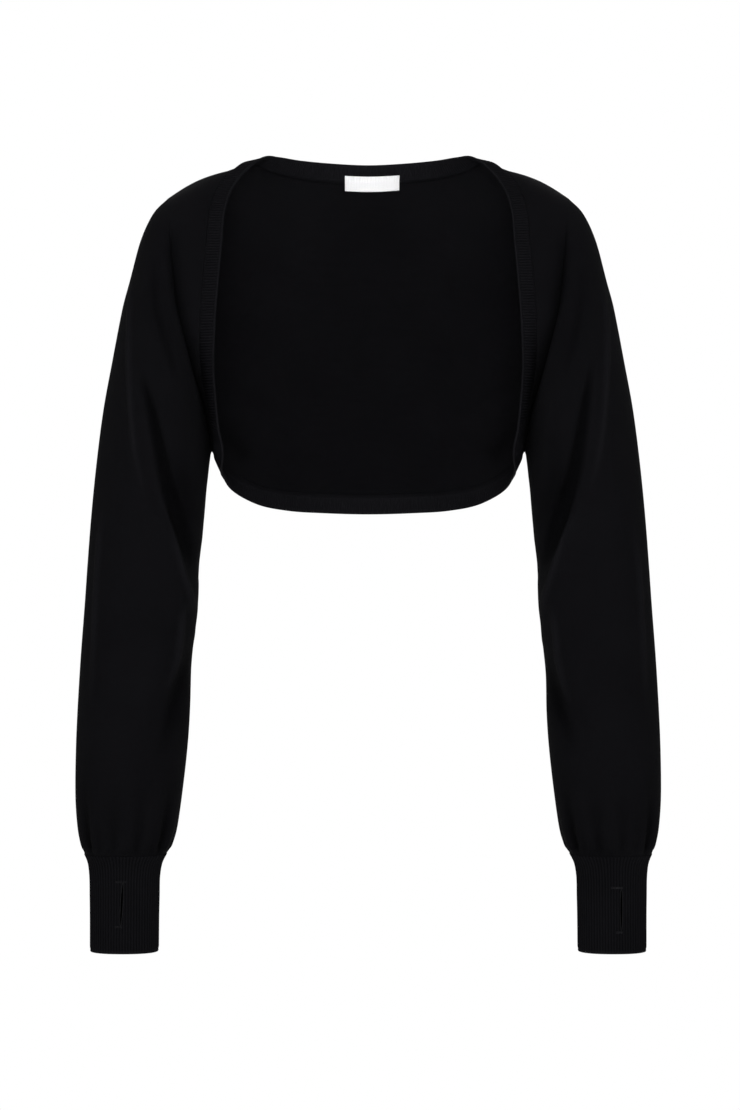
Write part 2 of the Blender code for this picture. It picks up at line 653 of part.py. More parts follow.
def build():
    clear_scene()
    shrug = bpy.data.collections.new("knitted_shrug")
    cutters = bpy.data.collections.new("cutters")
    bpy.context.scene.collection.children.link(shrug)
    bpy.context.scene.collection.children.link(cutters)

    (neck_edge, neck_seam), (front_edge, front_seam), (hem_edge, hem_seam) = band_stations()
    armhole_front = curve_through(ARMHOLE_FRONT, FRONT_STEPS)
    armhole_back = curve_through(ARMHOLE_BACK, FRONT_STEPS)
    armhole_loop = np.concatenate([armhole_front[:-1], armhole_back[:0:-1]])
    ridge = shoulder_seam(neck_seam[-1], armhole_front[0])

    edge = join_ends(neck_edge, front_edge, hem_edge)
    seam = join_ends(neck_seam, front_seam, hem_seam)
    loop_edge = np.concatenate([edge, edge[-2:0:-1] * MIRROR])
    loop_seam = np.concatenate([seam, seam[-2:0:-1] * MIRROR])
    band = np.array([loop_seam, loop_edge])
    back = back_panel(neck_seam, hem_seam, armhole_back, ridge)
    front = front_panel(front_seam, armhole_front, ridge)
    arm = sleeve(armhole_loop)
    cuff = cuff_rings(SLEEVE_SIDES)
    cuff[0] = arm[-1]

    band_wrapped = np.concatenate([band, band[:, :1]], axis=1)
    grids = {
        "back": (back, False, torso_middle(back)),
        "front_left": (front, False, torso_middle(front)),
        "front_right": (front * MIRROR, False, torso_middle(front)),
        "sleeve_left": (arm, True, tube_middle(arm)),
        "sleeve_right": (arm * MIRROR, True, tube_middle(arm * MIRROR)),
        "cuff_left": (cuff, True, tube_middle(cuff)),
        "cuff_right": (cuff * MIRROR, True, tube_middle(cuff * MIRROR)),
        "opening_band": (band, True, torso_middle(band_wrapped)),
    }
    ways = ways_through(grids)

    knit = knit_material("black_jersey", KNIT_COLOUR, 0.9)
    rib = knit_material("black_rib", RIB_COLOUR, 0.9)
    woven = knit_material("white_woven_label", LABEL_COLOUR, 0.7)

    half_counts = ([NECK_RIBS * 2] * NECK_STEPS + [FRONT_RIBS * 2] * FRONT_STEPS
                   + [HEM_RIBS * 2] * HEM_STEPS)
    rib_counts = {"opening_band": half_counts + half_counts[::-1]}
    for side in ("left", "right"):
        rib_counts[f"cuff_{side}"] = [CUFF_RIBS * 2] * SLEEVE_SIDES

    inner_faces = {}
    for name, (grid, closed, centres) in grids.items():
        own, through = ways[name]
        outer = clear_seams(name, grid, own, through, closed)
        wall = RIB_WALL if name in rib_counts else JERSEY_WALL
        inner = outer - through * wall
        if name.startswith("front"):
            straighten_side_seam(outer)
            straighten_side_seam(inner)
        inner_faces[name] = inner
        if name in rib_counts:
            counts = rib_counts[name]
            made = ribbed_wall(name, raise_ribs(outer, own, counts), inner, counts, rib, shrug)
            if name.startswith("cuff"):
                cut_slit(made, name.removeprefix("cuff_"), cutters)
        else:
            plain_wall(name, outer, inner, closed, knit, shrug)

    neck = slice(SHOULDER_STEPS, SHOULDER_STEPS + 2 * NECK_STEPS + 1)
    neck_columns = list(range(NECK_STEPS, -1, -1)) + list(range(-1, -NECK_STEPS - 1, -1))
    lining = label_grid(inner_faces["opening_band"][:, neck_columns],
                        inner_faces["back"][:2, neck])
    towards_neck = -unit(grid_normals(lining, False, torso_middle(lining)))
    label_back = lining + towards_neck * LABEL_LIFT
    label_front = label_back + towards_neck * LABEL_THICKNESS
    plain_wall("neck_label", label_back, label_front, False, woven, shrug)


build()
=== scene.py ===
import math

import bpy
import numpy as np
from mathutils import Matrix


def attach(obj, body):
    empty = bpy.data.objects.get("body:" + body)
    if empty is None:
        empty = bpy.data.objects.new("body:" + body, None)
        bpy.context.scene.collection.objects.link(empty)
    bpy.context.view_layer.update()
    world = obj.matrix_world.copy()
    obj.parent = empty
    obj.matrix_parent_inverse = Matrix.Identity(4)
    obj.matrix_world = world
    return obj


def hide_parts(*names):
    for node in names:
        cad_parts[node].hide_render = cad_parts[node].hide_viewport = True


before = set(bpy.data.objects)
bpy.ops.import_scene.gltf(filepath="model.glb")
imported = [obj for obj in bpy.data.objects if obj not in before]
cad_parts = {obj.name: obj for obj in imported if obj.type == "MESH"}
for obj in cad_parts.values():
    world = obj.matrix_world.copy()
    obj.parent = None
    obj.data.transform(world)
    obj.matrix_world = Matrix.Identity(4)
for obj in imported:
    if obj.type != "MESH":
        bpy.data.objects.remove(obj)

# A black knitted shrug in its worn shape: a back, two narrow fronts, full sleeves gathered into
# ribbed cuffs with a thumb slit, and one ribbed band round the opening, with a bare label in the neck.
# Metres, in the frame of the solids; the tables of places are in millimetres.

bpy.ops.object.select_all(action="DESELECT")
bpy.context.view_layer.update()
mm = 0.001
mirror = np.array([-1.0, 1.0, 1.0])
signOf = {"left": 1, "right": -1}

# how finely each stretch of a seam is divided; pieces that meet share these counts
steps = {
    "shoulder": 20,
    "neck": 48,
    "front": 112,
    "side": 7,
    "sleeveRings": 236,
    "samples": 1600,
    "creaseRow": 6,
}
hemSteps = steps["shoulder"] + steps["neck"]
sleeveSides = 2 * steps["front"]

cloth = {
    "seamGap": 0.03 * mm,
    "jerseyWall": 1.7 * mm,
    "seamDrop": 0.16 * mm,
    "seamRound": 0.25,
    "mitreLimit": 0.5,
    "cornerLimit": 0.2,
    "samePlace": 0.01 * mm,
    "torsoMiddle": 20 * mm,
    "skived": 0.75 * mm,  # how much thinner the edge of a body panel is over a turned allowance
    "skiveReach": (2.6 * mm, 2.2 * mm),
    "foldPast": 0.2,  # how far folds, and creases, run on past the side of their face
    "creasePast": 0.3,
    "lipPlace": 1.6,  # where a crease's lip lies and how wide it is, in half widths of the crease
    "lipWidth": 0.8,
    "fullRelief": 3 * mm,
    "deepest": 2,  # the painted shade of creases counts down to this many times the full relief
}


def unit(vectors):
    return vectors / np.linalg.norm(vectors, axis=-1, keepdims=True)


def chordKnots(points):
    return np.append(0.0, np.cumsum(np.linalg.norm(np.diff(points, axis=0), axis=1)))


def smoothCurve(knots, rows, at):
    # a smooth curve through the rows of a table
    slopes = np.gradient(rows, knots, axis=0)
    index = np.clip(np.searchsorted(knots, at, side="right") - 1, 0, len(knots) - 2)
    gap = (knots[index + 1] - knots[index])[:, None]
    t = (at - knots[index])[:, None] / gap
    start = (1 + 2 * t) * (1 - t) ** 2 * rows[index] + t * (1 - t) ** 2 * gap * slopes[index]
    end = t * t * (3 - 2 * t) * rows[index + 1] - t * t * (1 - t) * gap * slopes[index + 1]
    return start + end


def pointsAt(at, lengths, points):
    return np.column_stack([np.interp(at, lengths, column) for column in points.T])


def evenPoints(points, count):
    lengths = chordKnots(points[:, :3])
    return pointsAt(np.linspace(0.0, lengths[-1], count + 1), lengths, points)


def wrap(grid):
    return np.concatenate([grid, grid[:, :1]], axis=1)


def evenRing(ring, count):
    return evenPoints(np.concatenate([ring, ring[:1]]), count)[:-1]


def curveThrough(rows, count):
    points = np.array(rows) * mm
    knots = chordKnots(points)
    return evenPoints(smoothCurve(knots, points, np.linspace(0.0, knots[-1], steps["samples"])), count)


def signedPower(values, exponent):
    return np.sign(values) * np.abs(values) ** exponent


def joinEnds(*parts):
    return np.concatenate([part[:-1] for part in parts[:-1]] + [parts[-1]])


def mirroredRow(half):
    return np.concatenate([half, half[-2::-1] * mirror])


def smoothStep(values):
    t = np.clip(values, 0.0, 1.0)
    return t * t * (3 - 2 * t)


def bell(values):
    return np.exp(-(values**2))


def shares(count):
    return np.linspace(0.0, 1.0, count + 1)


def anglesRound(sides):
    return np.linspace(0.0, 2 * np.pi, sides, endpoint=False)


def facing(backward, face, past):
    return np.clip(past + backward * face, 0.0, 1.0) ** 0.5


def softFold(x, z, backward, fold):
    # a straight soft trough (negative) or ridge (positive) on one face, as the solids have it
    face, x0, z0, x1, z1, height, width = fold
    run = np.array([x1 - x0, z1 - z0]) * mm
    along = ((x - x0 * mm) * run[0] + (z - z0 * mm) * run[1]) / run.dot(run)
    nearest = np.clip(along, 0.0, 1.0)
    away = np.hypot(x - x0 * mm - nearest * run[0], z - z0 * mm - nearest * run[1])
    return height * mm * bell(away / (width * mm)) * facing(backward, face, cloth["foldPast"])


def creaseHeight(x, z, backward, crease):
    # a crease along a bent line through its rows of x, z, height and half width; the lip is the
    # share of the height that a ridge beside it has, on the outer (+) or inner side (-)
    face, lip, rows = crease
    rows = np.array(rows) * mm
    knots = chordKnots(rows[:, :2])
    line = smoothCurve(knots, rows, np.linspace(0.0, knots[-1], steps["creaseRow"] * len(rows)))
    points = np.stack([x, z], axis=-1)
    nearest = np.full(x.shape, 1.0)
    height, half, side = np.zeros((3, *x.shape))
    for start, end in zip(line[:-1], line[1:]):
        run = end[:2] - start[:2]
        offset = points - start[:2]
        share = np.clip((offset @ run) / run.dot(run), 0.0, 1.0)
        away = np.linalg.norm(offset - share[..., None] * run, axis=-1)
        nearer = away < nearest
        nearest = np.where(nearer, away, nearest)
        height = np.where(nearer, start[2] + share * (end[2] - start[2]), height)
        half = np.where(nearer, start[3] + share * (end[3] - start[3]), half)
        side = np.where(nearer, np.sign(run[0] * offset[..., 1] - run[1] * offset[..., 0]), side)
    away = side * nearest / half
    beside = (away - cloth["lipPlace"] * np.sign(lip)) / cloth["lipWidth"]
    shape = bell(away) - abs(lip) * bell(beside)
    return height * shape * facing(backward, face, cloth["creasePast"])


bandSize = {
    "width": 14 * mm,
    "flat": (1.31, 0.019),
    "ribPitch": 2.52 * mm,
    "ribHeight": 0.8 * mm,
    "pointsPerRib": 6,
    # the shares below paint shade in the rib grooves and beside the armhole crease, a highlight on the rim
    # and light on the inside
    "grooveShade": 0.68,
    "rimHighlight": 0.72,
    "insideShade": 0.72,
    "fadeAcross": 90 * mm,
    "fallAcross": 9 * mm,
    "fallShade": 5.0,
    "rimFall": 0.8,
    "ribRound": 0.6,
    "insideFrom": 1,  # painted light inside, from the rim to the seam and on the allowance
    "insideTo": 0.8,
    "insideTuck": 0.9,
}

# the free edge from the back neck over the shoulder and down the front to the back hem, and the
# way across the band to its seam
bandRoute = (
    (0, 55, -1.2, 0, 0.3, -0.95),
    (32, 51.5, -0.2, 0.12, 0.29, -0.95),
    (61, 40, 1, 0.3, 0.29, -0.91),
    (81, 20, 1.4, 0.58, 0.42, -0.66),
    (92, 6, 0.2, 0.77, 0.57, -0.22),
    (103, -2.5, -6.8, 0.81, 0.57, 0.08),
    (108.5, -6.5, -12.6, 0.85, 0.51, 0.12),
    (114.5, -12, -20, 0.9, 0.41, 0.14),
    (122.5, -20, -34, 0.95, 0.28, 0.1),
    (127.3, -27.5, -51, 0.98, 0.16, 0.05),
    (129.6, -38, -81, 0.99, 0.1, 0.02),
    (132.4, -45, -115, 0.99, 0.1, 0),
    (135, -49, -153, 0.98, 0.16, 0),
    (135.6, -51, -183, 0.92, 0.38, 0),
    (135, -51, -206, 0.78, 0.62, 0),
    (133.8, -50, -228, 0.64, 0.76, 0.05),
    (131.8, -47.5, -250, 0.56, 0.76, 0.3),
    (129, -42.5, -265, 0.6, 0.6, 0.52),
    (129.6, -32, -275, 0.58, 0.2, 0.79),
    (131.6, -14, -281, 0.5, 0.02, 0.86),
    (132.4, 10, -286, 0.42, 0.06, 0.9),
    (130.5, 33, -291, 0.34, 0.14, 0.93),
    (126.5, 53.5, -298, 0.24, 0.18, 0.95),
    (117.5, 70, -305, 0.15, 0.17, 0.97),
    (101, 81.5, -312.8, 0.08, 0.12, 0.99),
    (75, 89.5, -317.8, 0.04, 0.08, 0.99),
    (40, 94.5, -320, 0.02, 0.06, 0.99),
    (0, 96, -321, 0, 0.05, 0.99),
)
shoulderRow = 6
underarmRow = 19

armholeFront = (
    (180, 6, -37),
    (178.7, -20, -42.5),
    (176.8, -39, -62),
    (172.5, -48.5, -100),
    (165, -50, -148),
    (154.5, -45, -186),
    (147.5, -35, -218),
    (142.6, -21, -247),
    (141, -3, -266),
)
armholeBack = (
    (180, 6, -37),
    (179.8, 34, -44),
    (178.5, 58, -68),
    (175, 70, -105),
    (169, 72, -148),
    (160, 66, -190),
    (151, 51, -228),
    (144.5, 26, -253),
    (141, -3, -266),
)
shoulderRise = 0.5 * mm
# by height, how far the armhole seam is drawn in below the cloth beside it, and half the valley's width
armholeValley = {
    "front": ((-37, 0, 4), (-66, 0, 5), (-84, 2.6, 7.5), (-112, 3.6, 7), (-150, 4.4, 6.5),
              (-186, 6.4, 10), (-216, 6.4, 10), (-236, 5.6, 8.5), (-266, 3.5, 6)),
    "back": ((-37, 0, 3), (-70, 0.4, 3.5), (-150, 2, 5), (-220, 4, 7), (-266, 3.5, 6)),
    "sharpness": 1.2,
    "sleeveShare": 0.55,  # the valley's half width on the sleeve's side
}


def bandStations():
    table = np.array(bandRoute)
    table[:, :3] *= mm
    flip = np.array([-1.0, 1.0, 1.0, -1.0, 1.0, 1.0])
    rows = np.concatenate([table[2:0:-1] * flip, table, table[-2:-4:-1] * flip])
    knots = chordKnots(rows[:, :3])
    ends = (knots[2], knots[2 + shoulderRow], knots[2 + underarmRow], knots[-3])
    counts = (steps["neck"], steps["front"], hemSteps)
    stretches = []
    for start, end, count in zip(ends[:-1], ends[1:], counts):
        line = evenPoints(smoothCurve(knots, rows, np.linspace(start, end, steps["samples"])), count)
        edge = line[:, :3]
        stretches.append((edge, edge + bandSize["width"] * unit(line[:, 3:])))
    for edge, seam in (stretches[0], stretches[2]):
        middle = 0 if edge is stretches[0][0] else -1
        edge[middle, 0] = 0.0
        seam[middle, 0] = 0.0
    return stretches


def shoulderSeam(neckEnd, armholeTop):
    share = shares(steps["shoulder"])[:, None]
    ridge = armholeTop + (neckEnd - armholeTop) * share
    ridge[:, 2] += shoulderRise * np.sin(np.pi * share[:, 0])
    return ridge


backSize = {
    "originY": -45 * mm,
    "fullness": 2.7,
    "archShare": 0.40,
    "hemShare": 0.30,
    # painted light on the inside under the shoulders
    "paintedLight": 2.8 * mm,
    "paintedLightReach": 75 * mm,
    "paintedLightWidth": 110 * mm,
    "flat": (0.448, 0.334),
    "area": 0.116,
}
backCentre = (
    (59.2, -13.8),
    (72, -50),
    (88, -95),
    (98, -145),
    (102.5, -195),
    (102, -250),
    (96.7, -307.1),
)
# face, both ends seen from the front, height and half width
backFolds = (
    (1, 160, -196, 92, -232, -4, 13),
    (1, 150, -232, 96, -268, -3.5, 11),
    (1, 132, -40, 66, -92, -3, 15),
    (1, 34, -170, 22, -292, -2, 15),
)
underarmFold = (1, 138, -246, 118, -264, 4.5, 9)


def backSection(side, centre):
    rise = (side[1] - backSize["originY"]) / (centre[1] - backSize["originY"])
    fullness = backSize["fullness"]
    halfWidth = side[0] / (1 - rise**fullness) ** (1 / fullness)
    x = np.linspace(side[0], 0.0, steps["samples"])
    depth = (1 - (x / halfWidth) ** fullness) ** (1 / fullness)
    y = backSize["originY"] + (centre[1] - backSize["originY"]) * depth
    z = centre[2] + (side[2] - centre[2]) * (x / side[0]) ** 2
    return evenPoints(np.column_stack([x, y, z]), hemSteps)


def backPanel(neckSeam, hemSeam, armhole, ridge):
    rows = steps["front"] + steps["side"]
    centre = np.array(backCentre)
    centre = curveThrough(np.column_stack([np.zeros(len(centre)), centre]), rows)
    top = joinEnds(ridge, neckSeam[::-1])
    share = shares(steps["side"])[1:, None]
    side = np.concatenate([armhole, armhole[-1] + (hemSeam[0] - armhole[-1]) * share])
    section = [backSection(side[row], centre[row]) for row in range(rows + 1)]
    topMiss = top - section[0]
    hemMiss = hemSeam - section[-1]
    grid, relief = [], []
    for row in range(rows + 1):
        down = row / rows
        nearTop = max(0.0, 1 - down / backSize["archShare"])
        arch = 1 - math.sqrt(1 - nearTop**2)
        nearHem = max(0.0, 1 - (1 - down) / backSize["hemShare"])
        half = section[row] + topMiss * np.array([nearTop**2, arch, nearTop**2]) + hemMiss * nearHem**2
        awayFromSeams = (1 - (half[:, 0] / side[row, 0]) ** 6) * math.sin(math.pi * down) ** 0.5
        lift = sum(softFold(half[:, 0], half[:, 2], 1.0, fold) for fold in backFolds) * awayFromSeams
        pocket = softFold(half[:, 0], half[:, 2], 1.0, underarmFold) * awayFromSeams
        half[:, 1] += lift + pocket
        grid.append(mirroredRow(half))
        # the underarm fold is also painted: highlight on the outside, shade on the inside
        relief.append(pocket)
    return np.array(grid), np.array(relief)


frontSize = {
    "swell": 0.06,
    "hollow": 2.4 * mm,
    "hollowRows": (44, 78),
    "hollowEnd": 16,
    "flat": (0.074, 0.298),
    "area": 0.0100,
}


def frontPanel(bandSeam, armhole, ridge):
    share = shares(steps["shoulder"])
    bow = np.sin(np.pi * share)[:, None]
    downwards = np.gradient((bandSeam + armhole) / 2, axis=0)
    first, last = frontSize["hollowRows"]
    grid = [ridge]
    for row in range(1, steps["front"] + 1):
        across = bandSeam[row] - armhole[row]
        outward = unit(np.cross(downwards[row], across))
        if outward[1] > 0:
            outward = -outward
        swell = frontSize["swell"] * (1 - row / steps["front"]) * np.linalg.norm(across)
        hollow = frontSize["hollow"] * smoothStep((row - first) / (last - first))
        hollow *= smoothStep((steps["front"] - row) / frontSize["hollowEnd"])
        grid.append(armhole[row] + across * share[:, None] + outward * bow * (swell - hollow))
    return np.array(grid)


sleeveSize = {
    "blendSections": 3.5,
    "closerAtEnds": 1.2,
    "endReach": 30 * mm,
    "gatherStart": 8 * mm,
    "gatherSpread": 0.5,
    "puff": 1.1 * mm,
    "puffReach": 40 * mm,
    "foldClear": 2,  # sections free of folds and creases at the armhole and at the cuff
    "creaseClear": (0.8, 2),
    "allowance": (1.5 * mm, 1.3 * mm, 0.8 * mm, 0.2 * mm),
    "ridgeHighlight": 1.35,  # how much brighter a ridge's painted highlight is than a crease's painted shade of the same height
    # painted shade on the gathers near the cuff
    "cuffShade": 0.55 * mm,
    "cuffReach": 50 * mm,
    "innerShade": 1.1 * mm,  # painted shade on the side that rests against the body, below the elbow
    "innerPlace": -492 * mm,
    "innerReach": 46 * mm,
    "innerAcross": math.radians(36),
    "thickAtCuff": 0.5 * mm,
    "underEdge": 0.1 * mm,
    "insideRings": (6, 2),  # all of the rings near both ends, and one in so many of the others
    "flat": (0.580, 0.613),
    "area": 0.1695,
}
# outer x and z, inner x and z, reach to the front and back, squareness
sleeveSections = (
    (180, -37, 141, -266, -52, 72, 2.5),
    (193, -51, 141.7, -268.5, -57, 72, 2.45),
    (203.6, -74, 142.3, -271, -62, 71, 2.4),
    (211.7, -104, 142.9, -274.2, -65, 69, 2.35),
    (220.3, -141, 143.4, -279, -65, 65, 2.3),
    (229, -184, 144.2, -288, -62, 59, 2.25),
    (237.6, -229, 145.6, -302, -58, 53, 2.2),
    (244.2, -280, 147.4, -327, -54, 47, 2.2),
    (249.5, -335, 150.7, -366, -51, 43, 2.2),
    (254, -400, 154.6, -418, -50, 40, 2.2),
    (258, -459, 158, -470, -54, 35, 2.2),
    (260.8, -519.5, 161.1, -523.5, -59, 30, 2.2),
    (261.4, -569, 165.7, -569, -63, 26, 2.2),
    (259.5, -601, 170.4, -601, -64, 22, 2.2),
    (256.2, -617, 175.2, -617, -61, 15, 2.2),
    (254.6, -620.6, 177.2, -620.6, -59.2, 12, 2.23),
    (252.4, -624.8, 179.8, -624.8, -56.6, 6.6, 2.26),
)
# face, both ends seen from the front, height and half width
sleeveFolds = (
    (-1, 184, -100, 169, -190, -1.5, 9),
    (-1, 213, -140, 211, -280, 2.5, 16),
    (-1, 196, -228, 181, -310, -3.5, 12),
    (-1, 174, -312, 154, -372, -4.5, 10),
    (-1, 181, -326, 160, -396, 3, 10),
    (-1, 160, -452, 186, -520, -3.5, 12),
    (-1, 226, -380, 232, -520, 2, 18),
    (1, 178, -110, 166, -200, -3, 11),
    (1, 200, -240, 172, -330, -5, 12),
    (1, 214, -330, 170, -392, -5, 12),
    (1, 222, -420, 180, -462, -3.5, 13),
)
# face, lip, and down the line: x and z seen from the front, height and half width
sleeveCreases = {
    "both": (
        (1, 0.5, ((208, -112, 0, 5), (201, -150, -2.2, 6), (188, -190, -2.6, 6.5), (172, -222, 0, 6))),
        (1, 0.6, ((206, -268, 0, 6), (190, -318, -3, 6.5), (172, -350, -3.2, 7), (155, -372, 0, 6))),
        (1, 0.5, ((222, -384, 0, 6), (204, -408, -2.4, 6.5), (180, -424, -2.2, 6.5), (162, -430, 0, 6))),
        (1, 0.4, ((220, -492, 0, 7), (200, -516, -2, 8), (176, -532, 0, 7))),
        (1, 0, ((236, -300, 0, 3), (241, -380, 1.3, 3), (245, -470, 1.3, 3.2), (245, -540, 0, 3))),
        (-1, 0, ((172, -262, 0, 8), (164, -292, -1.6, 9), (158, -318, -1.8, 8), (152, -345, 0, 7))),
    ),
    "left": (
        (-1, 0, ((207.7, -118, 0, 2.6), (209.8, -142, 1.8, 2.6), (210.8, -167.5, 2.2, 2.6),
                 (209.9, -205, 2.4, 2.6), (206.4, -250, 2.2, 2.8), (200.2, -284, 1.2, 3.2),
                 (193, -312, 0, 3))),
        (-1, 0, ((191, -96, 0, 4), (186.2, -143, -1.1, 4), (179, -175, -1.3, 4.2), (170, -203, 0, 4))),
        (-1, 0.1, ((197, -188, 0, 3), (194.1, -210, -2.4, 3.6), (187, -257, -4.8, 4.6),
                   (180.8, -288, -5.8, 5.4), (174, -312, -6, 6.2), (165.5, -336, -5.2, 6.2),
                   (157.5, -360, -3.4, 5.6), (151.5, -380, 0, 5))),
        (-1, 0, ((185.4, -296, 0, 2), (182, -310, 0.8, 2), (175.9, -331, 1.2, 2), (170.4, -350, 2.2, 2),
                 (163.6, -374, 3, 2.1), (158.4, -390, 2.6, 2.2), (156, -402, 2.2, 2.4),
                 (155, -420, 0, 2.6))),
        (-1, 0, ((155.5, -436, 0, 4.6), (160.5, -464, -3, 5.2), (168.6, -493, -2.8, 5.8),
                 (176, -516, -1.6, 6), (181.5, -538, 0, 5.6))),
        (-1, 0, ((162, -402, 0, 2.6), (165.6, -424, 2.4, 2.6), (168.6, -452, 2.6, 2.6),
                 (174, -476, 1.6, 2.6), (180, -494, 0, 2.6))),
        (-1, 0, ((235, -326, 0, 2.6), (239.6, -368, 1.7, 2.6), (243.7, -440, 1.7, 2.6),
                 (245.5, -500, 0, 2.6))),
    ),
    "right": (
        (-1, 0, ((209.4, -112, 0, 2.4), (210.4, -130, 1.8, 2.4), (210.8, -162, 2.4, 2.4),
                 (210.3, -209, 2.6, 2.4), (207.6, -246, 2.4, 2.6), (203, -280, 1.4, 3.2),
                 (196, -311, 0, 3))),
        (-1, 0, ((188.5, -90, 0, 4), (187.7, -106, -0.8, 4), (185.6, -143.4, -1.3, 4),
                 (179.5, -165, -1.4, 4.2), (171.6, -190.4, -1, 4.2), (167, -214, 0, 4))),
        (-1, 0.1, ((199, -196, 0, 3), (196.2, -212, -2.2, 3.4), (190.8, -233, -3.6, 3.8),
                   (186.4, -254, -4.6, 4.2), (181.6, -275, -5.6, 4.8), (176.6, -298, -6, 5.4),
                   (171, -317, -6, 5.8), (163.8, -338, -5.2, 6), (157, -362, -3.6, 5.6),
                   (152, -382, 0, 5))),
        (-1, 0, ((186, -296, 0, 2), (181.6, -312, 0.8, 2), (173.8, -334, 1.2, 2), (168.2, -358, 2.4, 2),
                 (163.2, -378, 3, 2.1), (158.6, -392, 2.8, 2.2), (156.4, -404, 2.6, 2.6),
                 (155.4, -424, 0, 2.8))),
        (-1, 0, ((155.5, -430, 0, 4.6), (158.5, -448, -2.4, 5.2), (170.7, -489, -2.6, 6),
                 (177, -515, -1.7, 6), (182, -540, 0, 5.4))),
        (-1, 0, ((162, -400, 0, 2.6), (165, -418, 2.6, 2.6), (167.4, -440, 2.9, 2.6), (171, -458, 2.2, 2.8),
                 (178, -480, 0, 2.6))),
        (-1, 0, ((235, -318, 0, 2.6), (238.6, -348, 1.9, 2.6), (241.6, -399, 2.1, 2.6),
                 (243.2, -443, 1.7, 2.6), (245, -495, 0, 2.6))),
    ),
}
# place round the sleeve in degrees (0 outer edge, 90 front), reach up from the cuff, depth, and
# half width in degrees
sleeveGathers = (
    (6, 30, -1.8, 6),
    (14, 40, -1.6, 5),
    (41, 45, -4.6, 6),
    (61, 34, -1.8, 6),
    (80, 44, -2.2, 6),
    (106, 50, -2.6, 7),
    (127, 34, -1.8, 6),
    (143, 46, -4.8, 6),
    (171, 36, -2, 7),
    (196, 46, -2.6, 8),
    (222, 34, -2, 7),
    (247, 56, -3.4, 8),
    (272, 36, -1.8, 7),
    (296, 52, -3.2, 8),
    (322, 34, -2, 7),
    (343, 42, -2.4, 7),
)


def sectionRing(outer, inner, frontY, backY, fullness, sides):
    angle = anglesRound(sides)
    reach = signedPower(np.cos(angle), 2 / fullness)[:, None]
    forward = signedPower(np.sin(angle), 2 / fullness)
    ring = (outer + inner) / 2 + (outer - inner) / 2 * reach
    ring[:, 1] = (frontY + backY) / 2 - forward * (backY - frontY) / 2
    return ring


def gatherHeight(angle, aboveCuff):
    swell = np.clip(aboveCuff / sleeveSize["gatherStart"], 0.0, 1.0)
    total = 0.0
    for place, reach, depth, width in sleeveGathers:
        apart = (np.degrees(angle) - place + 180) % 360 - 180
        up = aboveCuff / (reach * mm)
        spread = width * (1 + sleeveSize["gatherSpread"] * up)
        total = total + depth * mm * bell(apart / spread) * bell(up)
    return (total + sleeveSize["puff"] * bell(aboveCuff / sleeveSize["puffReach"])) * swell


def ringPlaces(table):
    # where the rings lie, counted in sections: closer beside the armhole and in the gathers
    knots = np.arange(len(table), dtype=float)
    fine = np.linspace(0.0, knots[-1], steps["samples"])
    lengths = chordKnots(smoothCurve(knots, (table[:, :2] + table[:, 2:4]) / 2, fine))
    fromEnd = np.minimum(lengths, lengths[-1] - lengths) / sleeveSize["endReach"]
    crowd = 1 + sleeveSize["closerAtEnds"] * bell(fromEnd)
    crowd = np.append(0.0, np.cumsum((crowd[1:] + crowd[:-1]) / 2 * np.diff(lengths)))
    return np.interp(np.linspace(0.0, crowd[-1], steps["sleeveRings"]), crowd, fine)


def sleeveForm(armholeLoop, creases):
    # the sleeve's rings, and how far its creases and gathers stand up or sink, returned as painted highlight
    # on the ridges and painted shade in the creases, in the gathers, near the cuff and on the side against
    # the body
    table = np.array(sleeveSections)
    table[:, :6] *= mm
    at = ringPlaces(table)
    toEnd = at[-1] - at
    angle = anglesRound(sleeveSides)
    rings = []
    for section in smoothCurve(np.arange(len(table), dtype=float), table, at):
        outer = np.array([section[0], 0.0, section[1]])
        inner = np.array([section[2], 0.0, section[3]])
        rings.append(sectionRing(outer, inner, *section[4:7], sleeveSides))
    miss = armholeLoop - rings[0]
    for index, ring in enumerate(rings):
        nearArmhole = max(0.0, 1 - at[index] / sleeveSize["blendSections"])
        x, z = ring[:, 0], ring[:, 2]
        lift = sum(softFold(x, z, -np.sin(angle), fold) for fold in sleeveFolds)
        for sections in (at[index], toEnd[index]):
            lift = lift * min(1.0, sections / sleeveSize["foldClear"])
        rings[index] = ring + miss * nearArmhole**2 + unit(ring - ring.mean(axis=0)) * lift[:, None]
    rings = np.array(rings)
    x, z = rings[..., 0], rings[..., 2]
    aboveCuff = z - table[-1, 1]
    backward = np.broadcast_to(-np.sin(angle), x.shape)
    clear = [smoothStep(sections / reach) for sections, reach in zip((at, toEnd), sleeveSize["creaseClear"])]
    clear = clear[0][:, None] * clear[1][:, None]
    relief = sum(creaseHeight(x, z, backward, crease) for crease in creases) * clear
    gathers = gatherHeight(angle, aboveCuff)
    outwards = unit(gridNormals(rings, True, tubeMiddle(rings)))
    rings = rings + outwards * (relief + gathers)[..., None]
    # painted highlight on the ridges, painted shade in the creases and gathers, near the cuff and on the
    # side against the body
    relief = np.where(relief > 0, relief * sleeveSize["ridgeHighlight"], relief) + np.minimum(gathers, 0.0)
    relief = np.maximum(relief, -cloth["fullRelief"])
    inner = bell((angle - np.pi) / sleeveSize["innerAcross"])
    inner = inner * bell((z - sleeveSize["innerPlace"]) / sleeveSize["innerReach"])
    nearCuff = bell(aboveCuff / sleeveSize["cuffReach"])
    return rings, relief - sleeveSize["cuffShade"] * nearCuff - sleeveSize["innerShade"] * inner


